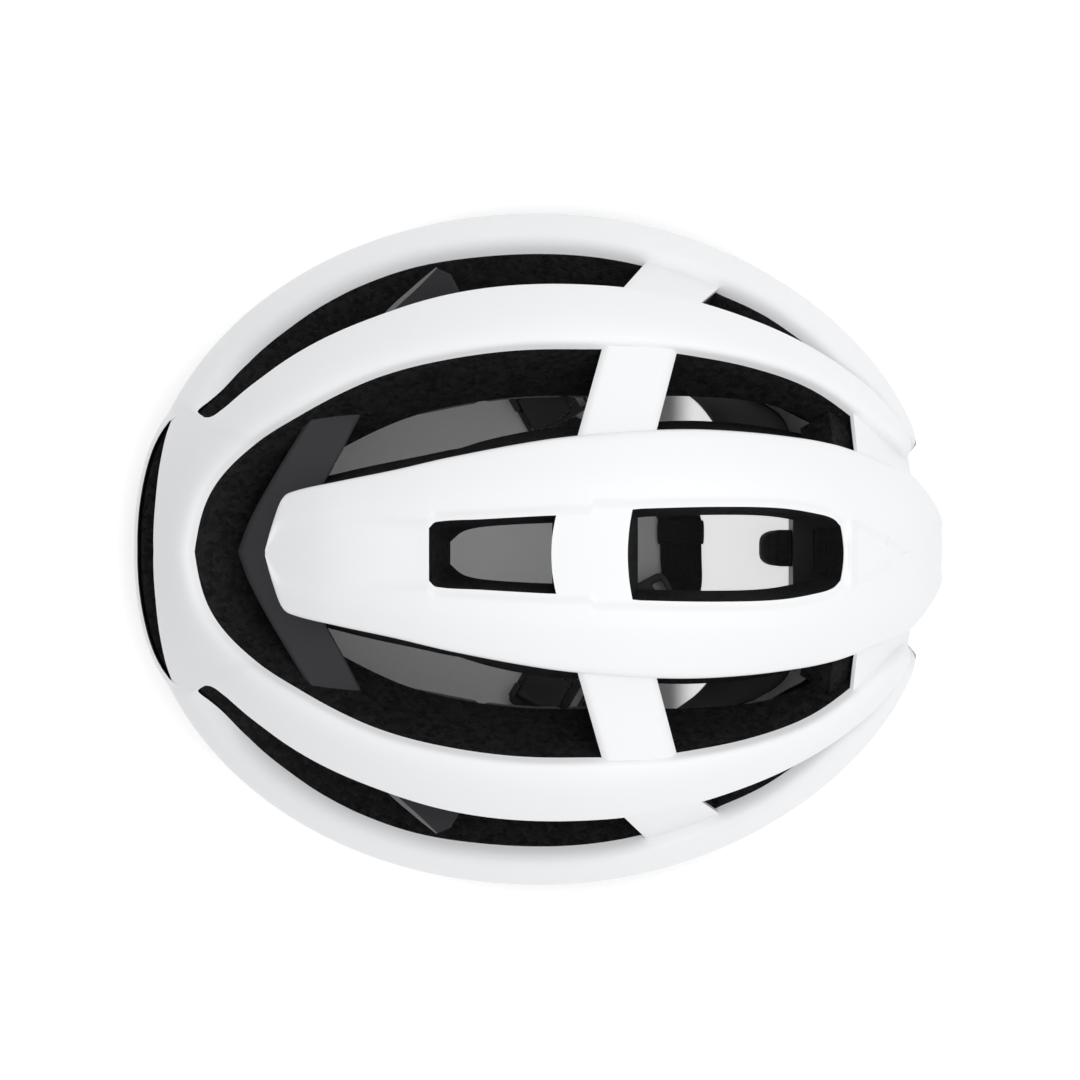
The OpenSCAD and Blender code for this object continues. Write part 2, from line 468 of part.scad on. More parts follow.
function mirrored(p) = [-p[0], p[1], p[2]];
chin_left_route = steps([divider_edge(0, divider_y), [38.3, 8, 3.4],
  buckle_place - (buckle_end + 0.2)*buckle_along]);
chin_left_across = [[0, divider_across], [2, [0.879, 0.477, 0]]];
module chin_strap_left() color(web_black) ribbon(chin_left_route, chin_left_across, web_width, web_t, 4);
chin_right_route = steps([buckle_place + (buckle_end + 0.2)*buckle_along, [10.5, 48.6, 3], [3, 47.6, 2],
  [-9, 47.2, 2], [-21, 41.5, 2], [-29, 31, 2], [-34, 17, 2], mirrored(divider_edge(0, divider_y))]);
chin_right_across = [[0, [0.879, 0.477, 0]], [1, [0.3, 0.95, 0]], [2, [0, 1, 0]], [3, [-0.2, 0.98, 0]],
  [4, [-0.62, 0.78, 0]], [5, [-0.88, 0.47, 0]], [6, [-0.9, 0.42, 0]], [7, mirrored(divider_across)]];
module chin_strap_right() color(web_black) ribbon(chin_right_route, chin_right_across, web_width, web_t, 22);

keeper_x = -5;
keeper_y = 47.4;
keeper_w = 8;
module strap_keeper() color(web_black) translate([keeper_x - keeper_w/2, keeper_y, 2]) rotate([90, 0, 90])
  linear_extrude(keeper_w) difference() {
    rounded(web_w + 3.6, 3.8, 1.6);
    square([web_w + 1.4, 2.2], center = true);
  }

module divider(side) color(plastic_black) at_divider(side) {
  translate([(divider_x - divider_y)/2, 0, divider_t/2]) difference() {
    plate(divider_x + divider_y, 2*divider_y, 2.5, divider_t);
    translate([(divider_y - divider_x)/2, 0, -divider_t]) {
      for (y = [-2.2, 5.2]) translate([-web_slot/2, y, 0]) cube([web_slot, slot_w, 2*divider_t]);
      translate([divider_x - 3.2, -web_slot/2, 0]) cube([slot_w, web_slot, 2*divider_t]);
    }
  }
  for (s = [-1, 1]) difference() {
    translate([s*ear_x - 1, lever_y - 2.4, divider_t - 0.2]) cube([2, 4.8, lever_z]);
    translate([s*ear_x - 2, lever_y, lever_z]) rotate([0, 90, 0]) cylinder(r = lever_pin_r + 0.05, h = 4);
  }
}
module cam_lever(side) color(plastic_black) at_divider(side) {
  translate([0, lever_y, lever_z]) rotate([0, 90, 0]) {
    translate([0, 0, -ear_x - 0.9]) cylinder(r = lever_pin_r, h = 2*ear_x + 1.8);
    translate([0, 0, -lever_w/2]) cylinder(r = 1.7, h = lever_w);
  }
  translate([-lever_w/2, lever_y, lever_z - 0.2]) cube([lever_w, 11.6, 1.6]);
}
module divider_left() divider(1);
module divider_right() divider(-1);
module cam_lever_left() cam_lever(1);
module cam_lever_right() cam_lever(-1);

// Temple pins: plugs in the foam, each with a headed pin that the fit band turns on
pin_r = 2;
pin_head_x = 68.2;
band_eye_x = 70.8;
plug_x = 73;
plug_end_x = 88;
plug_r = 6;
module on_temple_axis(side, x) mirror([side < 0 ? 1 : 0, 0, 0])
  translate([x, -temple_y, temple_z]) rotate([0, 90, 0]) children();
module temple_pocket(side)
  on_temple_axis(side, 50) cylinder(r = plug_r + seat, h = plug_end_x - 50 + seat, $fn = 20);
module temple_pin(side) color(plastic_black) {
  on_temple_axis(side, plug_x) cylinder(r = plug_r, h = plug_end_x - plug_x);
  on_temple_axis(side, pin_head_x) cylinder(r = pin_r, h = plug_x - pin_head_x + 1);
  on_temple_axis(side, pin_head_x) cylinder(r = 2*pin_r, h = 1.3);
}
module temple_pin_left() temple_pin(1);
module temple_pin_right() temple_pin(-1);

// Rack and pinion of the dial, module one
pitch_r = pinion_teeth/2;
rack_y = 87;
rack_w = 3;
rack_mid = pitch_r + 3.2;
rack_in = -8;
rack_out = 24;
band_t = 1.6;
band_w = 14;
eye_r = 8;
// A fit band ends at its rack, above the dial's axis on the left and below it on the right
function fit_route(end_z) = steps([[band_eye_x, -temple_y + 4, temple_z], [71.5, -22, 37.5], [69, 4, 33],
  [62, 30, 29], [51, 50, mix(26, end_z, 0.2)], [42, 64, mix(25, end_z, 0.5)],
  [36, 75, mix(25, end_z, 0.8)], [31, 84.5, end_z], [rack_out + 0.7, rack_y + rack_w/2, end_z]]);
fit_width = [[0, 13], [1, band_w], [4, band_w + 1], [5, band_w + 5], [6, band_w + 3], [7, 7], [8, 3.4]];
// The bands lean out behind the ears, as the head does
fit_across = [[0, [0, 0, 1]], [3, [0, 0, 1]], [4, [0.25, 0.18, 0.95]], [5, [0.42, 0.4, 0.81]],
  [6, [0.36, 0.44, 0.82]], [7, [0.05, 0.1, 1]], [8, [0, 0, 1]]];
module fit_band(side) color(plastic_black) {
  difference() {
    on_temple_axis(side, band_eye_x - 1) cylinder(r = eye_r, h = 2);
    on_temple_axis(side, band_eye_x - 2) cylinder(r = pin_r + 0.05, h = 4);
  }
  mirror([side < 0 ? 1 : 0, 0, 0])
    ribbon(fit_route(dial_z + side*rack_mid), fit_across, fit_width, band_t, 24);
}
module fit_band_left() fit_band(1);
module fit_band_right() fit_band(-1);

module upright_y(y, t) translate([0, y + t, dial_z]) rotate([90, 0, 0]) linear_extrude(t) children();
module rack_outline() {
  translate([rack_in, pitch_r + 1.3]) square([rack_out - rack_in, 3.7]);
  for (k = [-2:6]) translate([(k + 0.5)*PI, pitch_r])
    polygon([[-1.05, 1.4], [-0.28, -0.9], [0.28, -0.9], [1.05, 1.4]]);
}
module rack(turned) color(charcoal) upright_y(rack_y, rack_w) rotate(turned) rack_outline();
module rack_left() rack(0);
module rack_right() rack(180);
module pinion() color(charcoal) {
  upright_y(rack_y, rack_w) {
    circle(pitch_r - 1.25);
    for (k = [0:pinion_teeth - 1]) rotate(90 + 360*k/pinion_teeth) translate([pitch_r, 0])
      polygon([[-1.6, -0.85], [-0.5, -0.75], [0, -0.62], [0.9, -0.22], [0.9, 0.22], [0, 0.62],
        [-0.5, 0.75], [-1.6, 0.85]]);
  }
  upright_y(rack_y - 2, 13) circle(shaft_r);
}
shaft_r = 3;

// Cradle: a base with the rack channel, closed by a cover that carries the dial
case_w = 52;
case_h = 28;
case_y = 83.5;
channel_y = rack_y - 0.3;
channel_end = rack_y + rack_w + 0.3;
module cradle_base() color(plastic_black) difference() {
  upright_y(case_y, channel_end - case_y) rounded(case_w, case_h, 8);
  upright_y(channel_y, 10) square([case_w - 2.8, 2*pitch_r + 10.8], center = true);
  for (turned = [0, 180]) upright_y(channel_y, 10) rotate(turned)
    translate([0, pitch_r + 0.8]) square([case_w, 4.6]);
  upright_y(rack_y - 2.5, 5) circle(shaft_r + 0.05);
}
cover_t = 2.4;
module cradle_cover() color(plastic_black) upright_y(channel_end + 0.05, cover_t) difference() {
  rounded(case_w, case_h, 8);
  circle(shaft_r + 0.05);
}
dial_y = channel_end + 0.05 + cover_t + 0.4;
dial_t = 7.6;
grips = 16;
module dial() color(charcoal) {
  upright_y(dial_y, rack_y + 11 - dial_y) difference() {
    dial_outline();
    circle(shaft_r);
  }
  upright_y(rack_y + 11, dial_y + dial_t - rack_y - 11) dial_outline();
}
module dial_outline() difference() {
  circle(dial_r);
  for (k = [0:grips - 1]) rotate(360*k/grips) translate([dial_r + 0.6, 0]) circle(1.6, $fn = 24);
}

nape_w = 12;
nape_y = 73;
function nape_grid(plump) =
  [for (i = [0:6]) [for (j = [0:6]) let (x = mix(-nape_w/2, nape_w/2, i/6), z = mix(-7, 7, j/6))
    [x, mix(case_y - 0.2, nape_y, plump*mix(0.55, 1, sin(180*i/6)*sin(180*j/6))), dial_z + z]]];
module nape_pad() color(pad_grey) slab(nape_grid(0), nape_grid(1));

upper_shell();
lower_shell();
spine_foam();
band_foam();
rim_foam();
brace();
brow_pad();
side_pad_left();
side_pad_right();
crown_pad_left();
crown_pad_right();
strap_anchors();
front_strap_left();
front_strap_right();
rear_strap_left();
rear_strap_right();
chin_strap_left();
chin_strap_right();
strap_keeper();
divider_left();
divider_right();
cam_lever_left();
cam_lever_right();
buckle_female();
buckle_male();
buckle_prongs();
temple_pin_left();
temple_pin_right();
fit_band_left();
fit_band_right();
rack_left();
rack_right();
cradle_base();
cradle_cover();
nape_pad();
pinion();
dial();
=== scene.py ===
# Vented cycling helmet: white skins over black foam, a fit cradle and a buckled chin strap.
import json
import math

import bmesh
import bpy
import numpy as np
from mathutils import Matrix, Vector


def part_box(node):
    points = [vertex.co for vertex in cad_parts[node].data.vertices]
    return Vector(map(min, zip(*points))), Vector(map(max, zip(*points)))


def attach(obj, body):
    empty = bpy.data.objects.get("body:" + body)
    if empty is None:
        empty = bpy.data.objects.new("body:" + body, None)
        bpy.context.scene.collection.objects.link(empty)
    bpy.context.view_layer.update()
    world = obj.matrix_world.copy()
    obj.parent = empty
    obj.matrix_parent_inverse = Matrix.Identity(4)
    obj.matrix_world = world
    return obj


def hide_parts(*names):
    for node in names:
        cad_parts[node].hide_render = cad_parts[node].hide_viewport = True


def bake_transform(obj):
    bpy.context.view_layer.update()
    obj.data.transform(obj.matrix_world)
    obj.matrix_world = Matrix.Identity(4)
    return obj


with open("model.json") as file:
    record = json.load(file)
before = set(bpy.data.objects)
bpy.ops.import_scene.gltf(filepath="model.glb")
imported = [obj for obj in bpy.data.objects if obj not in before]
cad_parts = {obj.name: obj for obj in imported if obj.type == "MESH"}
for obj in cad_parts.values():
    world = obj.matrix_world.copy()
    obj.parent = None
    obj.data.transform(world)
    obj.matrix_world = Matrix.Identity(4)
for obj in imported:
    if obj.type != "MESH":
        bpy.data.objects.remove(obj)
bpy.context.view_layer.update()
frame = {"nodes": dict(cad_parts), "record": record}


# Lower shell
# The rim of the helmet is a thin polycarbonate skin, painted satin white and moulded on to the foam.
# It runs right round the head, from under the brow vent to the nape, and two tongues tie it to the band.

MM = 0.001
half_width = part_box("lower_shell")[1].x / MM
brow_reach = 1.3
half_length = -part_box("lower_shell")[0].y / MM - brow_reach
widest_height = 45
dome_height = 107
lean = 0.05
crown_power = 2.15
front_power = 2.08
rear_power = 1.96
wall_span = 60
skin_thickness = 1.4
edge_depth = 5

# Rows of [azimuth from the brow, value], with rise as an angle above the widest line
rim_rise = [[0, 10.3], [9, 10.6], [17, 10.8], [20, 11.8], [22, 13.2], [23.5, 14.3], [25.6, 26], [26.1, 24.6],
            [27.2, 24.2], [28.4, 24.3], [30, 24.3], [32.5, 24], [37, 23], [47, 23.6], [61, 24.4],
            [70, 24.8], [80, 26], [90, 26.3], [102, 26], [119, 25.4], [128, 23.8], [134, 23.4],
            [143, 22.2], [151.5, 17.9], [160.5, 11.2], [164.5, -6], [168, -9], [180, -10]]
rim_bottom = [[0, 6], [30, 4], [46, 0], [60, 0], [72, 5], [90, 16], [105, 23], [118, 18],
              [132, 3], [138, 0], [150, 0], [165, 2], [180, 3]]
rim_share = [[0, 1], [25.5, 1], [31, 0.92], [45, 0.75], [65, 0.66], [95, 0.64], [115, 0.68], [130, 0.84],
             [142, 0.97], [150, 1], [180, 1]]
wall_tuck = [[0, 0.05], [140, 0.05], [180, 0.06]]
nape_draw = [[0, 0], [130, 0], [140, 0], [150, 0.012], [158, 0.04], [166, 0.08], [180, 0.095]]
band_outer_rise = [[0, 20.4], [9, 19.4], [16, 16.9], [20, 14.9], [22, 14.3], [23.5, 14.8], [24.3, 19.4],
                   [25, 24.2], [25.6, 28.2], [26.2, 29.7], [28, 30.5], [32, 32.3], [39, 34.9], [57, 39.1],
                   [68, 40], [90, 39.9], [101, 38.8], [119, 34.9], [130, 31], [143, 24.4], [151.5, 18.6],
                   [163, 12.5]]
band_end = band_outer_rise[-1][0]
tip_start = 155
# Share of the depth that an edge rolls in: shallow along the brow vent, none where rim and band run flush
rim_roll = [[0, 0.08], [16, 0.08], [21, 0.05], [23.5, 0], [25.6, 0], [28.4, 0.35], [32, 0.7], [38, 1],
            [46, 1], [180, 1]]
band_roll = [[0, 0.06], [16, 0.04], [21, 0.02], [23.5, 0], [25.6, 0], [28, 0.7], [29.5, 1], [34, 1], [180, 1]]
flush_share = [[0, 0], [22.4, 0], [23.25, 1], [25.6, 1], [25.85, 0], [27, 0], [180, 0]]
# Reach of the rim's lip beyond the dome, under the brow vent
brow_lip = [[0, brow_reach], [9, 1.6], [17, 1.6], [21, 1], [24, 0], [26, 0], [180, 0]]
# Fall of the rim's rolled edge, and the degrees of rise that it takes
roll_fall = 4.5
roll_span = 6
# Degrees between the rim's edge and the band's: apart beside a vent, and the lap where they run flush
edge_gap = 0.5
flush_lap = 0.7
# Rise under which the nape is drawn in, and the degrees that it takes
nape_rise = 8
nape_span = 20


def curve(table, place):
    """Smooth line through rows of [place, value]: in each span a cubic whose slope at a row is the slope
    of the chord between that row's two neighbours."""
    knots = np.array([row[0] for row in table], float)
    values = np.array([row[1] for row in table], float)
    last = len(knots) - 1
    before = np.maximum(np.arange(last + 1) - 1, 0)
    after = np.minimum(np.arange(last + 1) + 1, last)
    wide = (slice(None),) + (None,) * (values.ndim - 1)
    rate = (values[after] - values[before]) / (knots[after] - knots[before])[wide]
    place = np.asarray(place, float)
    i = np.clip(np.searchsorted(knots, place, "right") - 1, 0, last - 1)
    span = knots[i + 1] - knots[i]
    f = (place - knots[i]) / span
    if values.ndim > 1:
        span, f = span[..., None], f[..., None]
    g = 1 - f
    return (g * g * (1 + 2 * f) * values[i] + f * f * (3 - 2 * f) * values[i + 1]
            + f * g * span * (g * rate[i] - f * rate[i + 1]))


def turned(azimuth):
    """The angle from the brow by the nearer side, from 0 to 180 degrees."""
    return np.abs((azimuth + 180) % 360 - 180)


def net(*axes):
    """Grid of points: the arrays of its axes, drawn out to one shape and laid side by side."""
    return np.stack(np.broadcast_arrays(*axes), -1)


def dome(azimuth, rise, depth):
    """Point of the helmet's dome, sunk by a depth. In plan a superellipse scaled by the cosine of the rise
    to a power, in height the sine to the same power; below the widest line the wall draws in a little."""
    a = np.radians(azimuth)
    up = np.radians(np.clip(rise, 0, 90))
    n = np.where(np.cos(a) > 0, front_power, rear_power)
    plan = (np.abs(np.sin(a)) ** n + np.abs(np.cos(a)) ** n) ** (-1 / n)
    tuck = 1 - curve(wall_tuck, turned(azimuth)) * (np.minimum(rise, 0) / wall_span) ** 2
    side = plan * np.where(rise > 0, np.cos(up) ** (2 / crown_power), tuck)
    x = (half_width - depth) * np.sin(a) * side
    y = -(half_length - depth) * np.cos(a) * side
    base = widest_height + lean * y
    high = base + (dome_height - depth) * np.sin(up) ** (2 / crown_power)
    return net(x, y, np.where(rise > 0, high, base * (1 + rise / wall_span)))


def spread(values, count):
    """A short list drawn out to count values along a smooth line through it."""
    return curve(list(enumerate(values)), np.linspace(0, len(values) - 1, count))


def solid(name, top, under, gaps=None, loop=False, cloth=None):
    """Closed solid between two grids of points in millimetres: the cells of both grids, and a wall where a
    kept cell has no kept neighbour. Gaps names the cells left out, and cloth gives UV places in metres."""
    rows, columns = top.shape[:2]
    cells = rows if loop else rows - 1
    kept = np.ones((cells, columns - 1), bool) if gaps is None else ~gaps
    edged = np.pad(kept, 1)
    if loop:
        edged[0], edged[-1] = edged[-2], edged[1]
    i, j = np.nonzero(kept)
    n = (i + 1) % rows

    def corner(side, row, column):
        """Number of a point in the top grid or the under grid."""
        return (side * rows + row) * columns + column

    def quads(mask, *corners):
        """Faces of the cells in a mask, from four corners each."""
        return np.stack([c[mask] for c in corners], 1)

    t00, t10, t11, t01 = corner(0, i, j), corner(0, n, j), corner(0, n, j + 1), corner(0, i, j + 1)
    u00, u10, u11, u01 = corner(1, i, j), corner(1, n, j), corner(1, n, j + 1), corner(1, i, j + 1)
    everywhere = np.ones(len(i), bool)
    faces = np.concatenate([
        quads(everywhere, t01, t11, t10, t00), quads(everywhere, u10, u11, u01, u00),
        quads(~edged[i, j + 1], u00, u01, t01, t00), quads(~edged[i + 2, j + 1], t11, u11, u10, t10),
        quads(~edged[i + 1, j], t10, u10, u00, t00), quads(~edged[i + 1, j + 2], u01, u11, t11, t01)])
    used, places = np.unique(faces, return_inverse=True)
    points = np.concatenate([top.reshape(-1, 3), under.reshape(-1, 3)])[used] * MM
    mesh = bpy.data.meshes.new(name)
    mesh.from_pydata(points.tolist(), [], places.reshape(faces.shape).tolist())
    if cloth is not None:
        flat = np.tile(cloth.reshape(-1, 2), (2, 1))[used]
        layer = mesh.uv_layers.new(name="cloth")
        layer.data.foreach_set("uv", flat[places.ravel()].ravel())
    return finish_mesh(mesh)


crease = math.radians(38)


def smoothed(mesh, angle):
    """Shades a mesh smooth but for the edges that are sharper than an angle."""
    mesh.shade_smooth()
    mesh.set_sharp_from_angle(angle=angle)
    return mesh


def finish_mesh(mesh):
    """Turns the faces of a closed mesh outwards and shades it."""
    work = bmesh.new()
    work.from_mesh(mesh)
    bmesh.ops.recalc_face_normals(work, faces=work.faces)
    work.to_mesh(mesh)
    work.free()
    return smoothed(mesh, crease)


def joined(name, meshes):
    """One mesh out of several."""
    work = bmesh.new()
    for mesh in meshes:
        work.from_mesh(mesh)
    whole = bpy.data.meshes.new(name)
    work.to_mesh(whole)
    work.free()
    return smoothed(whole, crease)


def placed(name, data):
    """New object in the scene."""
    made = bpy.data.objects.new(name, data)
    bpy.context.scene.collection.objects.link(made)
    return made


def piece(name, mesh, finish, body, nodes, rides=True):
    """Puts a mesh into the scene as a piece that stands for CAD nodes and moves with their body."""
    made = placed(name, mesh)
    mesh.materials.clear()
    mesh.materials.append(finish)
    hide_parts(*nodes)
    if rides:
        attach(made, body)
    return made


def band_outer(azimuth):
    """Rise of the band's outer edge, from its table."""
    return curve(band_outer_rise, turned(azimuth))


def rolled(table, azimuth):
    """Share from a table, kept between 0 and 1."""
    return np.clip(curve(table, turned(azimuth)), 0, 1)


def rim_top(azimuth):
    """Upper edge of the rim: its own line, kept below the band's edge, and just under the band where both
    run flush."""
    edge = band_outer(np.minimum(turned(azimuth), band_end))
    own = np.minimum(curve(rim_rise, turned(azimuth)), edge - edge_gap)
    return own + (edge + flush_lap - own) * rolled(flush_share, azimuth)


def rim_point(azimuth, rise, depth):
    """Point of the rim: the dome, lower beside the slots by a share of its height, drawn in at the nape,
    drawn out to a lip at the brow, and falling to its edge by the square of the place in the roll."""
    p = dome(azimuth, rise, depth)
    base = widest_height + lean * p[..., 1]
    draw = np.clip((nape_rise - rise) / nape_span, 0, 1) * curve(nape_draw, turned(azimuth))
    low = base + (p[..., 2] - base) * curve(rim_share, turned(azimuth))
    in_roll = np.clip((rise - rim_top(azimuth)) / roll_span + 1, 0, 1)
    z = np.where(p[..., 2] > base, low, p[..., 2]) - roll_fall * rolled(rim_roll, azimuth) * in_roll ** 2
    grown = 1 - draw + curve(brow_lip, turned(azimuth)) / half_length
    return net(p[..., 0] * grown, p[..., 1] * grown, z)


def rim_grid(edge, depth, hem, thin=0):
    """Section of the rim at each azimuth: from its rolled upper edge past the widest line to the hem, and on
    to the bottom edge where hem is false. Thin brings a back face nearer along the lip at the brow."""
    a = rim_azimuths[:, None]
    top = rim_top(a)
    waist = np.minimum(0, top - 8)
    clear = np.maximum(0, curve(rim_bottom, turned(a)))
    bottom = -wall_span * (1 - clear / dome(a, np.zeros_like(a), 0)[..., 2])
    fold = bottom + 4
    rises = [top - edge[0], top - edge[1], top - edge[2], (top - edge[2] + waist) / 2, waist,
             (waist + fold) / 2, fold] + ([] if hem else [bottom])
    ways = spread(np.eye(len(rises)), rim_columns)
    rise = np.concatenate(rises, 1) @ ways.T
    sunk = np.broadcast_to(depth, (len(a), len(rises))).copy()
    roll = rolled(rim_roll, a)
    sunk[:, :3] = sunk[:, 3:4] + (sunk[:, :3] - sunk[:, 3:4]) * roll - thin * (1 - roll)
    sunk[:, :3] += 0.05 * rolled(flush_share, a)
    return rim_point(a, rise, sunk @ ways.T)


def paced(*spans):
    """Places along a line in spans of [from, to, step], each up to but not including its end."""
    return np.concatenate([np.arange(start, stop - step / 2, step) for start, stop, step in spans])


half_turn = paced([1, 19, 1], [19, 32, 0.2], [32, 156, 1], [156, 180, 0.5])
rim_azimuths = np.concatenate([-half_turn[::-1], [0], half_turn, [180]])
rim_columns = 43
rim_skin = solid(
    "rim_skin",
    rim_grid([0, 2.2, 6.5], np.array([5, 2.4, 0.7, 0, 0, 0, 0]), True),
    rim_grid([1, 2.6, 6], np.array([5, 3.6, 2.2, 1.4, 1.4, 1.4, 1.4]), True, 0.9), loop=True)

# The tongues fall from under the band's outer edge and lie on the rim's rolled edge
tongue_at_band = [104.5, 118]
tongue_at_rim = [107, 119.5]


def edge_fall(place, fall):
    """Fall along both edges of a strip, by the square of the place in the last sixth of its half width."""
    return fall * np.clip((np.abs(place) - 0.84) / 0.16, 0, 1) ** 2


def tongue_grid(side, sunk, band_tuck, rim_lap):
    """Cross-bridge over a side slot: straight from the band's edge to the rim's, rounded along its edges."""
    a = side * np.linspace(*tongue_at_band, 25)[:, None]
    c = side * np.linspace(*tongue_at_rim, 25)[:, None]
    along = np.linspace(0, 1, 17)[None, :, None]
    near = dome(a, band_outer(a) + band_tuck, sunk)
    far = rim_point(c, rim_top(c) - rim_lap, sunk)
    p = near + (far - near) * along
    p[..., 2] -= edge_fall(np.linspace(-1, 1, 25), 1.4)[:, None]
    return p


def tongue_pair(name, top, under, *laps):
    """The tongue on either side, between two depths."""
    return [solid(name, tongue_grid(side, top, *laps), tongue_grid(side, under, *laps)) for side in (1, -1)]


def feed(tree, socket, term):
    """Gives an input another node's output, a plain colour or a plain number."""
    if isinstance(term, bpy.types.NodeSocket):
        tree.links.new(term, socket)
    else:
        socket.default_value = (*term, 1) if socket.type == "RGBA" else term


def settle(node, **values):
    """Gives a node its settings and feeds its inputs."""
    for name, value in values.items():
        if hasattr(node, name):
            setattr(node, name, value)
        else:
            feed(node.id_data, node.inputs[name.replace("_", " ")], value)
    return node


def add(tree, kind, **values):
    """New node in a tree, settled."""
    return settle(tree.nodes.new(kind), **values)


def shader(name, **values):
    """New material with its node tree and its Principled shader, settled with plain values."""
    made = bpy.data.materials.new(name)
    made.use_nodes = True
    return made, made.node_tree, settle(made.node_tree.nodes["Principled BSDF"], **values)


def blend_colours(tree, factor, low, high):
    """Colour between two others, by a factor socket."""
    mix = add(tree, "ShaderNodeMix", data_type="RGBA", Factor=factor)
    colours = [socket for socket in mix.inputs if socket.type == "RGBA"]
    feed(tree, colours[0], low)
    feed(tree, colours[1], high)
    return [socket for socket in mix.outputs if socket.type == "RGBA"][0]


def ramp(tree, value, start, stop, low, high, shape="LINEAR"):
    """Value that goes from low to high while a socket's value goes from start to stop."""
    return add(tree, "ShaderNodeMapRange", interpolation_type=shape, Value=value, From_Min=start,
               From_Max=stop, To_Min=low, To_Max=high).outputs["Result"]


def relief(tree, height, strength, depth):
    """Normal of a surface that is bumped by a height socket."""
    return add(tree, "ShaderNodeBump", Strength=strength, Distance=depth, Height=height).outputs["Normal"]


def surface_group(name, *inputs):
    """New node group with number inputs, a height and a tone to put out, and the nodes at its two ends."""
    group = bpy.data.node_groups.new(name, "ShaderNodeTree")
    for word in inputs:
        group.interface.new_socket(word, in_out="INPUT", socket_type="NodeSocketFloat")
    for word in ("Height", "Tone"):
        group.interface.new_socket(word, in_out="OUTPUT", socket_type="NodeSocketFloat")
    return group, group.nodes.new("NodeGroupInput"), group.nodes.new("NodeGroupOutput")


def grain_group():
    """Fine surface grain on object places: noise of a grain size for bumps, and broad noise for tone."""
    group, start, end = surface_group("fine_grain", "Grain", "Patch")
    place = add(group, "ShaderNodeTexCoord").outputs["Object"]
    fine = add(group, "ShaderNodeTexNoise", Vector=place, Scale=start.outputs["Grain"], Detail=3,
               Roughness=0.55)
    broad = add(group, "ShaderNodeTexNoise", Vector=place, Scale=start.outputs["Patch"], Detail=2)
    settle(end, Height=fine.outputs["Fac"], Tone=broad.outputs["Fac"])
    return group


fine_grain = grain_group()


def grained(name, low, high, smooth, rough, grain, patch, depth):
    """Moulded or painted surface: tone and gloss wander between two values, over a fine grain in relief."""
    made, tree, principled = shader(name, Base_Color=low, Roughness=rough)
    surface = add(tree, "ShaderNodeGroup", node_tree=fine_grain, Grain=grain, Patch=patch)
    tone = surface.outputs["Tone"]
    settle(principled, Base_Color=blend_colours(tree, tone, low, high),
           Roughness=ramp(tree, tone, 0, 1, smooth, rough),
           Normal=relief(tree, surface.outputs["Height"], 1, depth))
    return made


white_paint = grained("satin_white_paint", (0.8, 0.81, 0.825), (0.84, 0.845, 0.855), 0.4, 0.5, 900, 14, 2e-5)
rim_whole = joined("rim_skin", [rim_skin, *tongue_pair("tongue", 3.4, 4.8, -0.4, 1.2)])
piece("rim_skin", rim_whole, white_paint, "helmet", ["lower_shell"])


# Upper shell
# A second white skin: a horseshoe band from the brow along both sides to the tail, and a spine over the crown
# with two openings in it. Two cross-bridges and two decks at the tail tie the spine to the band.

band_inner_rise = [[0, 31.3], [12, 34.2], [25, 41.2], [35, 46.3], [48, 50.2], [69, 53.9], [90, 54.5],
                   [104, 53], [122, 47.4], [133, 41.8], [144, 34.5], [155, 27.5], [163, 19]]
half_band = np.append(half_turn[half_turn < band_end], band_end)
band_azimuths = np.concatenate([-half_band[::-1], [0], half_band])
band_columns = 49


def band_edges(azimuth):
    """Rise of the band's inner and outer edges."""
    return curve(band_inner_rise, turned(azimuth)), band_outer(azimuth)


def band_grid(section):
    """Band between its inner and outer rise: the section's place picks the rise, its depth sinks the point.
    Beside the brow the outer edge isn't rolled, because the rim runs on flush from it, and at the tail the
    band narrows to a rounded tip that rolls in."""
    place, depth = (spread(column, band_columns) for column in zip(*section))
    flat = section[3][1]
    a = band_azimuths[:, None]
    inner, outer = band_edges(a)
    tip = np.clip((turned(a) - tip_start) / (band_end - tip_start), 0, 1)
    half = (inner - outer) / 2 * np.sqrt(1 - 0.8 * tip ** 4)
    share = np.where(place < 0, rolled(band_roll, a), 1)
    sunk = flat + (depth - flat) * share
    rolled_in = sunk + (edge_depth - np.minimum(sunk, edge_depth)) * tip ** 5
    return dome(a, (inner + outer) / 2 + half * place, rolled_in)


band_face = [[1, 5], [0.92, 2], [0.62, 0.5], [0, 0], [-0.7, 0.5], [-0.94, 1.8], [-1, 5]]
band_back = [[0.9, 5], [0.82, 3.4], [0.55, 2], [0, 1.4], [-0.65, 2], [-0.86, 3.2], [-0.9, 5]]
band_skin = solid("band_skin", band_grid(band_face), band_grid(band_back))

# Rows of [place along the spine, half width], its openings, and the turn down its rear face
spine_half = [[-86.2, 1.2], [-84.3, 9], [-81.6, 17], [-78.5, 19.3], [-64.3, 22.4], [-46, 26], [-28, 30],
              [0, 35], [20, 37.2], [45, 38.5], [65, 37.8], [84, 35.8], [94, 34], [99, 32.6], [105, 30.6],
              [111, 28.2], [117, 26.4], [122, 24], [126.5, 20.2], [129.4, 17.2]]
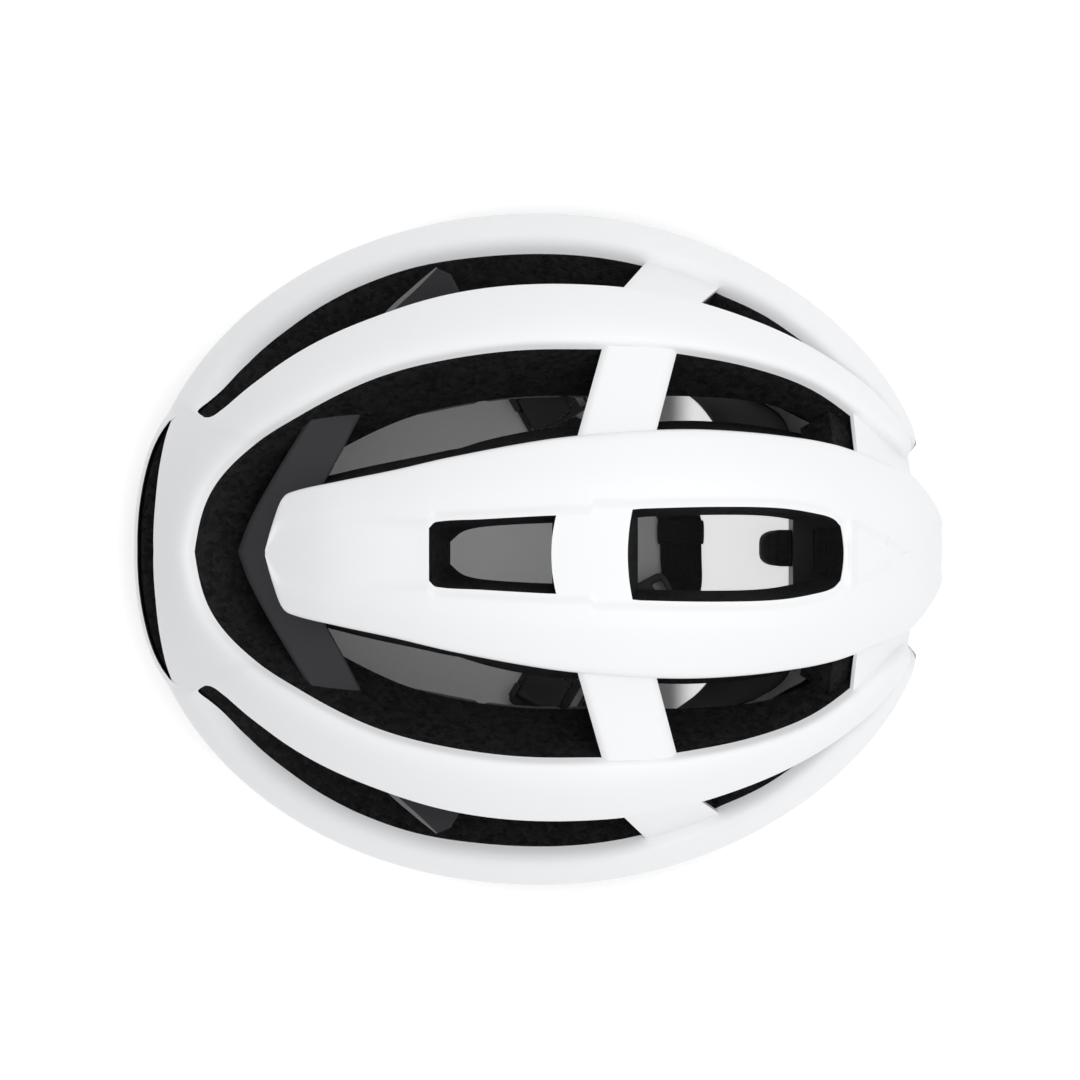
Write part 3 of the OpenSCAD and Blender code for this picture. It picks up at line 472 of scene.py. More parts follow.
# The spine's edge rolls in as it goes down, so its rows are wider by the same share
edge_out = 1 / (1 - edge_depth / half_width)
spine_turn = [[0, [129.4, 0, 17.2]], [1, [131.2, 2, 15]], [2, [131.2, 11, 14]], [3, [129, 21, 13]]]
front_hole = [[-34.3, 8.1], [-32.3, 10], [-18, 10.9], [0, 11.9], [5, 12.1]]
rear_hole = [[28.5, 13.9], [32, 14.2], [56, 14.7], [75, 14.2], [88, 12.1], [92, 10.6], [94, 8.5]]
front_ends = front_hole[0][0], front_hole[-1][0]
rear_ends = rear_hole[0][0], rear_hole[-1][0]
spine_keys = [-86.2, -84.3, -81.6, -78.5, -64.3, -46, -34.3, -32.3, -18, -6, 5, 12, 20, 28.5, 32, 44, 56,
              67, 78, 88, 92, 94, 99, 105, 111, 117, 122, 126.5, 129.4]
spine_columns = 121


def filled(keys, gap):
    """Places along a line that hold every key, with others between them no further apart than a gap."""
    return np.concatenate([np.linspace(lo, hi, max(2, math.ceil((hi - lo) / gap) + 1))[:-1]
                           for lo, hi in zip(keys, keys[1:])] + [[keys[-1]]])


spine_y = filled(spine_keys, 0.9)
spine_rows = np.concatenate([
    np.stack([spine_y, np.zeros_like(spine_y), curve(spine_half, spine_y)], 1),
    curve(spine_turn, np.linspace(0, 3, 25)[1:])]) * np.array([1, 1, edge_out])


def over(x, y, depth=0):
    """Height of the dome, sunk by a depth, straight above a place in plan."""
    n = np.where(y < 0, front_power, rear_power)
    r = ((np.abs(x) / (half_width - depth)) ** n + (np.abs(y) / (half_length - depth)) ** n) ** (1 / n)
    crown = np.clip(1 - r ** crown_power, 0, 1) ** (1 / crown_power)
    return widest_height + lean * y + (dome_height - depth) * crown


def below(x, y, depth, draw):
    """Point under a place in plan at a depth, drawn in towards the middle by another depth."""
    base = widest_height + lean * y
    z = base + (over(x, y) - base) * (1 - depth / dome_height)
    return net(x * (1 - draw / half_width), y * (1 - draw / half_length), z)


def held(table, place):
    """Smooth line through a table, level beyond its ends."""
    return curve(table, np.clip(place, table[0][0], table[-1][0]))


def spine_hole(y):
    """Half width of the opening at a place along the spine, or of the strip in line with it."""
    return np.where(y < 16, held(front_hole, y), held(rear_hole, y))


# Eleven places from edge to edge: shares of the half width, and the two that keep to the openings' sides
spine_ways = spread(np.eye(11), spine_columns).T
spine_fixed = np.array([-1, -0.95, -0.8, -0.58, 0, 0, 0, 0.58, 0.8, 0.95, 1]) @ spine_ways
spine_moving = np.array([0, 0, 0, 0, -1, 0, 1, 0, 0, 0, 0]) @ spine_ways


def spine_share(y, half):
    """Share of the half width that an opening takes, and a plain share at the nose and the tail."""
    nose, tail, plain = -70, 110, 0.36
    return np.where((y < nose) | (y > tail), plain, spine_hole(y) / half)


def swell(away, width):
    """Bell curve: 1 in the middle, falling on both sides by the square of the distance over a width."""
    return np.exp(-(away / width) ** 2)


def spine_grid(depths, draw):
    """Spine across each of its rows, with the middle two spans as wide as the openings. Depth sinks it, less
    at the nose; draw pulls a back face in from the sides; a drop lowers the tail, whose rear face is bowed,
    and the openings' ends are bowed too."""
    y, drop, half = (column[:, None] for column in spine_rows.T)
    place = spine_fixed + spine_moving * spine_share(y, half)
    pull = np.array([-1.4, -1.3, -0.8, -0.2, 0, 0, 0, 0.2, 0.8, 1.3, 1.4]) @ spine_ways
    nose = np.minimum(1, half / 12)
    x = half * place - draw * pull * nose
    across = np.clip(1 - (x / spine_hole(y)) ** 2, 0, 1)
    ends = (1.5 * swell(y - front_ends[1], 3.5) + 1.5 * swell(y - rear_ends[0], 3.5)
            - swell(y - rear_ends[1], 2.5))
    bowed = y - 2.5 * np.maximum(0, y - 117) / 14 * place ** 2 - across * ends
    middle = depths[5]
    sunk = middle + (depths @ spine_ways - middle) * nose
    upright = spine_face[5] + (sunk - spine_face[5]) * np.minimum(1, np.abs(spine_fixed) / 0.58)
    p = below(x, bowed, sunk, np.minimum(sunk, np.maximum(upright, 0)))
    p[..., 2] -= drop * (1 + 0.35 * place ** 2) + arrow_dip(x, y) + channel_dip(x, y) + nose_dip(y)
    return p


def eased(value):
    """Smooth step from 0 to 1."""
    f = np.clip(value, 0, 1)
    return f * f * (3 - 2 * f)


def nose_dip(y):
    """Fall of the nose below the dome, along a straight slope in front of a soft crease."""
    crease_at, softness, slope = -68, 3, 0.17
    ahead = crease_at - y
    return slope * (np.sqrt(ahead ** 2 + softness ** 2) + ahead) / 2


def arrow_dip(x, y):
    """Shallow arrow-shaped facet between the rear opening and the tail, with soft edges."""
    base, tip, half, deep, slope = 97.5, 119, 11.5, 1.9, 2.2
    inside = np.minimum(half * (tip - y) / (tip - base) - np.abs(x), y - base)
    return deep * eased(inside / slope)


def channel_dip(x, y):
    """Shallow channel that holds the two openings, with a soft step along its sides and ends."""
    front, rear, margin, deep = -64, 97.5, 3.4, 1.5
    beside = eased((spine_hole(y) + margin - np.abs(x)) / 3.2)
    return deep * beside * eased((y - front) / 28) * eased((rear - y) / 2.6)


spine_face = np.array([5, 1.8, 0.6, 0, 0.7, 0.7, 0.7, 0, 0.6, 1.8, 5])
spine_back = np.array([5, 3.4, 2.2, 1.4, 2.1, 2.1, 2.1, 1.4, 2.2, 3.4, 5])
cell_y = (spine_rows[:-1, 0] + spine_rows[1:, 0]) / 2
cell_c = (np.arange(spine_columns - 1) + 0.5) * 10 / (spine_columns - 1)
in_front = (cell_y > front_ends[0]) & (cell_y < front_ends[1])
in_rear = (cell_y > rear_ends[0]) & (cell_y < rear_ends[1])
spine_gaps = (in_front | in_rear)[:, None] & (np.abs(cell_c - 5) < 1)[None]
spine_skin = solid("spine_skin", spine_grid(spine_face, 0), spine_grid(spine_back, 1), spine_gaps)

# Bridges and decks: corners in plan on the left, as [front edge, rear edge] from the spine outwards
inner_bridge = [[[34.5, 11], [64.5, 19.5]], [[36.5, 35.5], [64, 43]]]
rear_deck = [[[30.5, 99], [48, 97.5]], [[22.5, 119.8], [37, 118]]]


def panel_grid(corners, side, depth, dip, bias):
    """Panel laid on the dome between four corners and rolled along its edges. A dip by a sine hollows it,
    nearer to the spine for a smaller bias."""
    c = np.array(corners, float)
    f = np.linspace(0, 1, 21)[:, None, None]
    q = np.linspace(0, 1, 17)[None, :, None]
    p = (c[0, 0] * (1 - q) + c[0, 1] * q) * (1 - f) + (c[1, 0] * (1 - q) + c[1, 1] * q) * f
    x, y = p[..., 0], p[..., 1]
    deep = (depth + np.sin(math.pi * q ** bias) * dip + edge_fall(2 * f - 1, 1.2))[..., 0]
    return net(side * x, y, over(x, y, deep))


panels = [solid("panel", panel_grid(corners, side, depth, dip, bias),
                panel_grid(corners, side, depth + skin_thickness, dip, bias))
          for corners, depth, dip, bias in ((inner_bridge, 3.5, 1.8, 0.75), (rear_deck, 2.9, 2, 0.45))
          for side in (1, -1)]
piece("band_skin", band_skin, white_paint, "helmet", ["upper_shell"])
spine_whole = joined("spine_skin", [spine_skin, *panels])
piece("spine_skin", spine_whole, white_paint, "helmet", ["upper_shell"])


# Foam liner
# The liner is moulded from black expanded polystyrene, whose beads show as a fine pebbled grain. It follows
# the skins from beneath, leaves the vents open, and its lower edge stands on the surface.

liner_depth = 28
nape_thin = [[0, 0], [140, 0], [164, 11], [180, 12]]
band_thin = [[0, 0], [112, 0], [128, 4], [142, 10], [163, 16]]
foam_seat = 0.15
foam_face = [[1, 5.15], [0.89, 5.15], [0.84, 3.5], [0, 1.55], [-0.84, 3.5], [-0.89, 5.15], [-1, 5.15]]

# The rim's inner wall is at the liner's depth, less towards the bottom edge and at the nape
rim_less = np.array([0, 0, 0, 1, 2, 4, 5.6, 6])
rim_inside = liner_depth - rim_less[None] - curve(nape_thin, turned(rim_azimuths))[:, None]
face = skin_thickness + foam_seat
rim_foam = solid(
    "rim_foam",
    rim_grid([0, 1.15, 5], np.array([5.15, 5.15, 2.3, face, face, face, face, face]), False),
    rim_grid([0, 1.5, 4.5], rim_inside, False), loop=True)


def band_foam_under():
    """Inner wall of the band's foam, as wide as the band, at the liner's depth and thinner at the tail."""
    place = spread([row[0] for row in foam_face], band_columns)
    a = band_azimuths[:, None]
    inner, outer = band_edges(a)
    depth = liner_depth - curve(band_thin, turned(a))
    return dome(a, (inner + outer) / 2 + (inner - outer) / 2 * place, depth)


band_foam = solid("band_foam", band_grid(foam_face), band_foam_under())
tongue_foam = tongue_pair("tongue_foam", 5.6, 22, 0.8, -0.4)

# Rows of [place along the spine, place on the liner's inner face]: the openings narrow downwards
spine_inner = [[-86.2, -86], [-52, -49], [-34.3, -28], [-32.3, -25.2], [-18, -15.5], [5, 3.8], [16, 16],
               [28.5, 30.5], [56, 54.5], [94, 87.5], [99, 94.5], [105, 98], [111, 99.7], [117, 101.2],
               [122, 102.3], [126.5, 103], [129.4, 103.3]]
foam_hole = [[-34.3, 0.43], [-32.3, 0.6], [-28, 0.7], [-18, 0.77], [5, 0.78], [28.5, 0.8], [94, 0.81]]
foam_edge = [[-86.2, 1.03], [-72, 1.06], [-50, 1.08], [0, 1.05], [14, 1.03], [131, 1.03]]


def spine_foam_under():
    """Inner face of the spine's foam: below the dome by the liner's depth, a little wider than the skin, and
    gathered under the tail."""
    y, half = spine_rows[:, :1], spine_rows[:, 2:]
    opening = spine_moving * spine_share(y, half) * held(foam_hole, y)
    x = half * (spine_fixed * held(foam_edge, y) + opening)
    step = np.arange(len(y))[:, None]
    tail = spine_inner[-1][1] + 0.6 * (step - len(spine_y) + 1) / 24
    inner = np.where(step < len(spine_y), held(spine_inner, y), tail)
    return net(x, inner, over(x, inner, liner_depth))


spine_foam_face = spine_back + np.array([0.15, 1.75] + [0.15] * 7 + [1.75, 0.15])
spine_foam = solid("spine_foam", spine_grid(spine_foam_face, 1), spine_foam_under(), spine_gaps)


def web_grid(corners, side, depth, reach):
    """Foam under a cross-bridge or deck: from inside the spine to just short of the band's inner wall."""
    c = np.array(corners, float)
    f = np.linspace(0, 1, 15)[:, None]
    near = c[0, 0] * (1 - f) + c[1, 0] * f
    far = c[0, 1] * (1 - f) + c[1, 1] * f
    a = np.degrees(np.arctan2(far[:, 0] / half_width, -far[:, 1] / half_length))
    wall = dome(a, curve(band_inner_rise, a) + 0.4, depth)
    start = below(near[:, 0] * reach, near[:, 1], depth, depth)
    q = np.linspace(0, 1, 15)[None, :, None]
    p = start[:, None] * (1 - q) + wall[:, None] * q
    return p * np.array([side, 1, 1])


bridge_foot = [inner_bridge[0], [[36.5, 39.5], [64, 47]]]
webs = [solid("web", web_grid(corners, side, top, 0.8), web_grid(foot, side, under, 1))
        for corners, foot, top, under in ((inner_bridge, bridge_foot, 7.4, 24), (rear_deck, rear_deck, 8, 20))
        for side in (1, -1)]


def worked(tree, operation, *terms):
    """Result of arithmetic on sockets and plain numbers."""
    node = add(tree, "ShaderNodeMath", operation=operation)
    for socket, term in zip(node.inputs, terms):
        feed(tree, socket, term)
    return node.outputs["Value"]


def beaded_foam():
    """Black foam: rounded cells for the beads in relief, a random tone in each bead, and dark joints."""
    made, tree, principled = shader("black_bead_foam", Base_Color=(0.008, 0.008, 0.0085), Roughness=0.75,
                                    Specular_IOR_Level=0.15)
    place = add(tree, "ShaderNodeTexCoord").outputs["Object"]
    bead = {"Vector": place, "Scale": 620, "Randomness": 1}
    beads = add(tree, "ShaderNodeTexVoronoi", **bead)
    joints = add(tree, "ShaderNodeTexVoronoi", feature="DISTANCE_TO_EDGE", **bead)
    speck = add(tree, "ShaderNodeTexNoise", Vector=place, Scale=1500, Detail=2)
    tone = blend_colours(tree, beads.outputs["Color"], (0.002, 0.002, 0.0023), (0.017, 0.017, 0.018))
    round_bead = ramp(tree, joints.outputs["Distance"], 0, 0.16, 0, 1)
    height = worked(tree, "MULTIPLY_ADD", speck.outputs["Fac"], 0.35, round_bead)
    settle(principled, Base_Color=tone, Normal=relief(tree, height, 0.8, 0.00018))
    return made


def rounded(made, width, angle):
    """Rounds the edges of a piece that are sharper than an angle."""
    bevel = made.modifiers.new("rounded_edges", "BEVEL")
    bevel.width = width
    bevel.segments = 2
    bevel.limit_method = "ANGLE"
    bevel.angle_limit = angle
    return bevel


foam = beaded_foam()
band_moulding = joined("band_foam", [band_foam, *tongue_foam])
spine_moulding = joined("spine_foam", [spine_foam, *webs])
rounded(piece("rim_foam", rim_foam, foam, "helmet", ["rim_foam"]), 0.0012, crease)
rounded(piece("band_foam", band_moulding, foam, "helmet", ["band_foam"]), 0.0006, crease)
piece("spine_foam", spine_moulding, foam, "helmet", ["spine_foam"])


# Brace
# A charcoal nylon V moulded into the liner under the front windows. It joins both sides through the spine,
# and a fine bevel runs along its front edge.

brace_line = [[[0, -96], [0, -78], 15, 16, 0], [[9, -92.5], [10, -74], 15, 16, 0],
              [[19, -87], [22, -67.5], 14, 16.5, 0], [[32, -79], [34, -61], 11.5, 17.5, 0],
              [[43, -72], [45, -55], 8.5, 18, 0], [[59, -62], [60, -43], 8.5, 14, 1],
              [[75, -50], [74, -30.5], 8, 8, 5], [[84, -41], [81, -25.5], 5.5, 5.5, 11],
              [[91, -33.5], [88.5, -28.5], 4, 4, 16]]
brace_thickness = 2.6
brace_along = np.linspace(-8, 8, 129)
brace_across = np.array([0, 0.015, 0.04, 0.075, 0.1, 0.3, 0.5, 0.7, 0.9, 0.95, 0.985, 1])


def brace_grid(lower):
    """Strip between a front and a rear line in plan, at a depth under the dome, bevelled along its edges."""
    table = [[i, [*row[0], *row[1], *row[2:]]] for i, row in enumerate(brace_line)]
    rows = curve(table, np.abs(brace_along))
    side = np.sign(brace_along + 1e-9)[:, None]
    q = brace_across[None]
    x = rows[:, :1] * (1 - q) + rows[:, 2:3] * q
    y = rows[:, 1:2] * (1 - q) + rows[:, 3:4] * q
    deep = rows[:, 4:5] * (1 - q) + rows[:, 5:6] * q
    edge = np.array([1.7, 1.25, 0.75, 0.1, 0, 0, 0, 0, 0, 0.1, 0.5, 1])[None]
    down = np.where(lower, brace_thickness, edge)
    return net(side * x, y, over(x, y, deep) - rows[:, 6:7] - down)


def slot_shade_and_bevel_highlight(finish, tip, bevel):
    """Tones by UV place along and across the strip: painted shade on its ends in the side slots, with a
    painted highlight on the bevel at their front."""
    tree = finish.node_tree
    colour = tree.nodes["Principled BSDF"].inputs["Base Color"]
    axes = add(tree, "ShaderNodeSeparateXYZ", Vector=add(tree, "ShaderNodeTexCoord").outputs["UV"])
    ends = ramp(tree, axes.outputs["X"], 4.9, 5.3, 0, 1)
    front = ramp(tree, axes.outputs["Y"], 0.1, 0.12, 1, 0)
    for factor, tone in ((ends, tip), (worked(tree, "MULTIPLY", ends, front), bevel)):
        feed(tree, colour, blend_colours(tree, factor, colour.links[0].from_socket, tone))


charcoal = grained("charcoal_nylon", (0.044, 0.044, 0.049), (0.054, 0.054, 0.059), 0.6, 0.7, 2600, 30, 2e-5)
settle(charcoal.node_tree.nodes["Principled BSDF"], Specular_IOR_Level=0.05)
# Painted shade darkens the brace's ends in the side slots, and a painted highlight lightens their front
# bevel.
slot_shade_and_bevel_highlight(charcoal, (0.016, 0.016, 0.018), (0.13, 0.13, 0.135))
brace_places = net(np.abs(brace_along)[:, None], brace_across[None])
brace = solid("brace", brace_grid(False), brace_grid(True), cloth=brace_places)
piece("brace", brace, charcoal, "helmet", ["brace"])


# Hardware
# The small fittings are glass-filled nylon mouldings in black: strap anchors, dividers and their cam levers,
# the buckle, temple pins, and the cradle with its dial, pinion and racks. Their edges are lightly rounded.

moulding_crease = math.radians(30)


def moulded(node, finish, edge):
    """Copy of a solid with its triangles welded, its flat faces made whole and its edges rounded."""
    mesh = frame["nodes"][node].data.copy()
    work = bmesh.new()
    work.from_mesh(mesh)
    bmesh.ops.remove_doubles(work, verts=work.verts, dist=0.000002)
    bmesh.ops.dissolve_limit(work, angle_limit=math.radians(1.5), verts=work.verts, edges=work.edges)
    work.to_mesh(mesh)
    work.free()
    made = piece(node + "_moulding", smoothed(mesh, moulding_crease), finish, body_of[node], [node])
    rounded(made, edge, moulding_crease).harden_normals = True


body_of = {node: body for body, nodes in frame["record"]["behaviour"]["bodies"].items() for node in nodes}
black_nylon = grained("black_nylon", (0.02, 0.02, 0.021), (0.028, 0.028, 0.03), 0.4, 0.55, 3200, 60, 3e-5)
dial_nylon = grained("dial_nylon", (0.06, 0.06, 0.064), (0.072, 0.072, 0.076), 0.45, 0.6, 3200, 60, 3e-5)
for node in ("strap_anchors", "divider_left", "divider_right", "cam_lever_left", "cam_lever_right",
             "buckle_female", "buckle_male", "buckle_prongs", "temple_pin_left", "temple_pin_right",
             "cradle_base", "cradle_cover"):
    moulded(node, black_nylon, 0.0004)
for node in ("rack_left", "rack_right", "pinion", "dial"):
    moulded(node, dial_nylon, 0.0003)


# Webbing
# The straps are woven polyester webbing, 14 mm wide: a front and a rear strap run from each side's anchors to
# its divider, and the chin straps go on from there to the buckle. A stitched loop keeps the loose end.

web_width = 14
web_thickness = 1.2


def woven_group():
    """Plain weave on UV places: brick courses stand for the floats of the yarn, in relief and in tone."""
    group, start, end = surface_group("plain_weave", "Float")
    place = add(group, "ShaderNodeTexCoord").outputs["UV"]
    yarn = add(group, "ShaderNodeTexBrick", offset=0.5, Vector=place, Scale=start.outputs["Float"],
               Mortar_Size=0.12, Mortar_Smooth=1, Bias=0, Brick_Width=1, Row_Height=0.5,
               Color1=(0.55, 0.55, 0.55), Color2=(1, 1, 1), Mortar=(0, 0, 0))
    tone = add(group, "ShaderNodeRGBToBW", Color=yarn.outputs["Color"])
    settle(end, Height=worked(group, "SUBTRACT", 1, yarn.outputs["Fac"]), Tone=tone.outputs["Val"])
    return group


plain_weave = woven_group()


def woven(name, low, high, floats, depth, sheen):
    """Cloth: a plain weave of a number of floats to the metre, between two tones, with a soft sheen."""
    made, tree, principled = shader(name, Base_Color=low, Roughness=0.8, Sheen_Weight=sheen,
                                    Sheen_Roughness=0.5)
    cloth = add(tree, "ShaderNodeGroup", node_tree=plain_weave, Float=floats)
    settle(principled, Base_Color=blend_colours(tree, cloth.outputs["Tone"], low, high),
           Normal=relief(tree, cloth.outputs["Height"], 1, depth))
    return made


def lengths(points):
    """Way along a line of points, from its start to each of them."""
    return np.concatenate([[0], np.cumsum(np.linalg.norm(np.diff(points, axis=0), axis=1))])


def unit(ways):
    """The same directions, each of length 1."""
    return ways / np.linalg.norm(ways, axis=-1, keepdims=True)


def ribbon(name, route, across, width, thickness, rows):
    """Flat band along a smooth route: width across it, and a thickness that falls to thin edges."""
    last = len(route) - 1
    step = np.linspace(0, last, rows)
    line = list(enumerate(route))
    centre = curve(line, step)
    ahead = curve(line, np.minimum(step + 0.02, last))
    behind = curve(line, np.maximum(step - 0.02, 0))
    wide = unit(curve(across, step))
    up = unit(np.cross(wide, ahead - behind))
    half = np.broadcast_to(curve(width, step) / 2, (rows,))[:, None, None]
    s = np.sin(np.linspace(-math.pi / 2, math.pi / 2, 17))[None, :, None]
    lift = thickness / 2 * (np.sqrt(np.clip(1 - s ** 8, 0, 1)) + 0.02)
    flat = centre[:, None] + s * half * wide[:, None]
    cloth = net(lengths(centre)[:, None], (s * half)[..., 0]) * MM
    return solid(name, flat + lift * up[:, None], flat - lift * up[:, None], cloth=cloth)


def sided(side, route, across):
    """A left strap's route and its ways across it, or the same on the wearer's right."""
    points = [[side * p[0], *p[1:]] for p in route]
    return points, [[place, [side * way[0], *way[1:]]] for place, way in across]


black_web = woven("black_webbing", (0.01, 0.01, 0.011), (0.026, 0.026, 0.028), 620, 0.00012, 0.15)
same_width = [[0, web_width], [9, web_width]]


def strap(name, route, across, rows, node, body, stays, goes):
    """Webbing along a route, as a piece that stands for a CAD node and is fixed where it lies. Body, stays
    and goes are not used."""
    mesh = ribbon("webbing", route, across, same_width, web_thickness, rows)
    made = piece(name, mesh, black_web, "helmet", [node], rides=False)
    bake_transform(made)


divider_turn = math.radians(60)
divider_along = [-math.sin(divider_turn), math.cos(divider_turn), 0]
divider_across = [math.cos(divider_turn), math.sin(divider_turn), 0]
front_route = [[81.8, -28.6, 52], [76.8, -27.4, 50.5], [76.2, -27, 44], [76, -25.5, 33], [73, -21, 19],
               [66, -12, 7.5], [56.6, -3.7, 1.8]]
front_across = [[0, [0.217, 0.976, 0]], [3, [0.22, 0.97, 0]], [6, divider_across]]
rear_route = [[75.5, 47.1, 52], [70.2, 45.2, 51], [69, 44.8, 44], [69.2, 43, 33], [67, 37, 19],
              [62, 25, 7.5], [55.5, 13, 1.8]]
rear_across = [[0, [-0.368, 0.93, 0]], [3, [-0.37, 0.93, 0]], [6, divider_along]]
for side, word in ((1, "left"), (-1, "right")):
    for name, route, across in (("front", front_route, front_across), ("rear", rear_route, rear_across)):
        strap(f"{name}_webbing_{word}", *sided(side, route, across), 90, f"{name}_strap_{word}",
              f"divider_{word[0]}", 4, 6)

buckle_across = [0.879, 0.477, 0]
chin_left_route = [[40.4, 5.7, 1.8], [38.3, 8, 3.4], [35.6, 10.7, 4.8]]
chin_left_across = [[0, divider_across], [2, buckle_across]]
strap("chin_webbing_left", chin_left_route, chin_left_across, 20, "chin_strap_left", "divider_l", 2, 0)

# The right chin strap is two lengths that meet in the keeper: one to the buckle, and one to the divider
keeper_at = [-5, 47.4, 2]
keeper_half = 4
chin_end_route = [[16.4, 46.3, 4.8], [11.5, 47.7, 3.3], [3, 47.5, 2], keeper_at]
chin_end_across = [[0, buckle_across], [1, [0.3, 0.95, 0]], [2, [0, 1, 0]], [3, [-0.06, 1, 0]]]
strap("chin_webbing_tail", chin_end_route, chin_end_across, 50, "chin_strap_right", "buckle_plug", 2, 0)
chin_right_route = [keeper_at, [-9, 47.2, 2], [-21, 41.5, 2], [-29, 31, 2], [-34, 17, 2], [-40.4, 5.7, 1.8]]
chin_right_across = [[0, [-0.06, 1, 0]], [1, [-0.2, 0.98, 0]], [2, [-0.62, 0.78, 0]], [3, [-0.88, 0.47, 0]],
                     [4, [-0.9, 0.42, 0]], [5, [-divider_across[0], *divider_across[1:]]]]
strap("chin_webbing_right", chin_right_route, chin_right_across, 100, "chin_strap_right", "divider_r", 4, 5)


def keeper_grid(half, lift, bulge):
    """Sleeve round a strap: a superellipse across it, drawn along the strap and a little fuller half way."""
    a = np.linspace(0, 2 * math.pi, 97)[:-1, None]
    t = np.linspace(-1, 1, 17)[None]
    full = bulge * (1 - t ** 4)
    y = keeper_at[1] + np.sign(np.sin(a)) * np.abs(np.sin(a)) ** 0.35 * (half + full)
    z = keeper_at[2] + np.sign(np.cos(a)) * np.abs(np.cos(a)) ** 0.35 * (lift + full)
    return net(keeper_at[0] + keeper_half * t, y, z)


keeper_places = net(np.linspace(0, 0.042, 96)[:, None], np.linspace(0, 0.008, 17)[None])
keeper = solid("keeper", keeper_grid(7.6, 1.5, 0.3), keeper_grid(7.2, 0.9, 0), loop=True, cloth=keeper_places)
piece("strap_keeper_loop", keeper, black_web, "helmet", ["strap_keeper"])


# Fit bands
# A springy nylon band runs from each temple pin round the back of the head, thins, and ends at its rack.
# It is cut from sheet with an eye at its front end, and bends as the dial draws the rack in.

temple = [70.8, -45, 40]
fit_width = [[0, 13], [1, 14], [4, 16], [5, 21], [6, 19], [7, 8], [8, 3.4]]
fit_across = [[0, [0, 0, 1]], [3, [0, 0, 1]], [4, [0.3, 0.22, 0.93]], [5, [0.52, 0.5, 0.7]],
              [6, [0.46, 0.54, 0.7]], [7, [0.05, 0.1, 1]], [8, [0, 0, 1]]]


def fit_route(end_height):
    """Route of a fit band: from the temple back and down, and across to the end of its rack."""
    drop = [start + (end_height - start) * share for start, share in ((26, 0.2), (25, 0.5), (25, 0.8))]
    eye = [temple[0], temple[1] + 4, temple[2]]
    return [eye, [71.5, -22, 37.5], [69, 4, 33], [62.5, 30.5, 29], [53, 52, drop[0]], [44.2, 66, drop[1]],
            [37.5, 76.5, drop[2]], [31, 84.5, end_height], [24.7, 88.5, end_height]]


def eye_grid(side, face):
    """Ring at a band's front end that turns on the temple pin, with rounded rims."""
    a = np.linspace(0, 2 * math.pi, 73)[:-1, None]
    r = np.array([2.05, 2.3, 7.6, 7.9, 8])[None]
    x = temple[0] + face * np.array([0.85, 1, 1, 0.85, 0.55])[None]
    y = temple[1] + r * np.cos(a)
    return net(side * x, y, temple[2] + r * np.sin(a))


for side, word, height in ((1, "left", 30.2), (-1, "right", 13.8)):
    route, across = sided(side, fit_route(height), fit_across)
    strip = ribbon("fit_band", route, across, fit_width, 1.6, 120)
    eye = solid("eye", eye_grid(side, 1), eye_grid(side, -1), loop=True)
    band = piece(f"fit_band_strip_{word}", joined("fit_band", [strip, eye]), black_nylon, "cradle",
                 [f"fit_band_{word}"], rides=False)
    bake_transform(band)


# Pads
# Soft pads of foam in a knitted cover stick to the liner at the brow, the sides and the crown, and one
# small pad faces the nape on the cradle. Each is plump in the middle and welded thin at its edge.

pad_cloth = woven("knitted_pad_cover", (0.016, 0.016, 0.018), (0.034, 0.034, 0.037), 900, 0.0001, 0.3)
pad_gap = 0.9
pad_thickness = 6


def plump(rows, columns):
    """Share of the full thickness over a pad: a steep rise from the edge, level in the middle, pressed in
    along two welded channels."""
    u = np.linspace(-1, 1, rows)[:, None]
    v = np.linspace(-1, 1, columns)[None]
    crown = (1 - u ** 6) ** 0.5 * (1 - v ** 6) ** 0.5
    channels = swell(np.abs(u) - 0.36, 0.035) * 0.45
    return (0.16 + 0.84 * crown) * (1 - channels * crown)


def cushion(name, back, front, body, node):
    """Pad between two grids, covered in cloth laid out by the lengths along and across its back."""
    rows, columns = back.shape[:2]
    cover = net(lengths(back[:, columns // 2])[:, None], lengths(back[rows // 2])[None]) * MM
    made = piece(name, solid(name, back, front, cloth=cover), pad_cloth, body, [node])


def band_pad(name, start, stop, margin, node):
    """Pad on the band's inner face between two azimuths."""
    rows, columns = 121, 41
    a = np.linspace(start, stop, rows)[:, None]
    inner, outer = band_edges(a)
    inner, outer = inner - margin, outer + margin
    rise = inner + (outer - inner) * np.linspace(0, 1, columns)[None]
    seat = liner_depth + pad_gap
    back = dome(a, rise, seat)
    front = dome(a, rise, seat + pad_thickness * plump(rows, columns))
    cushion(name, back, front, "helmet", node)


band_pad("brow_cushion", -36, 36, 2.5, "brow_pad")
band_pad("side_cushion_left", 52, 118, 2, "side_pad_left")
band_pad("side_cushion_right", -118, -52, 2, "side_pad_right")


def crown_pad(name, side, node):
    """Pad along one side of the spine's inner face."""
    rows, columns = 121, 31
    front_end, rear_end = -46, 58
    y = np.linspace(front_end, rear_end, rows)[:, None]
    near = np.minimum(16.5, 13 + 0.135 * (y - front_end))
    far = np.minimum(30, 23 + 0.2 * (y - front_end))
    x = near + (far - near) * np.linspace(0, 1, columns)[None]
    seat = liner_depth + pad_gap
    back = net(side * x, y, over(x, y, seat))
    front = net(side * x, y, over(x, y, seat + pad_thickness * plump(rows, columns)))
    cushion(name, back, front, "helmet", node)


crown_pad("crown_cushion_left", 1, "crown_pad_left")
crown_pad("crown_cushion_right", -1, "crown_pad_right")


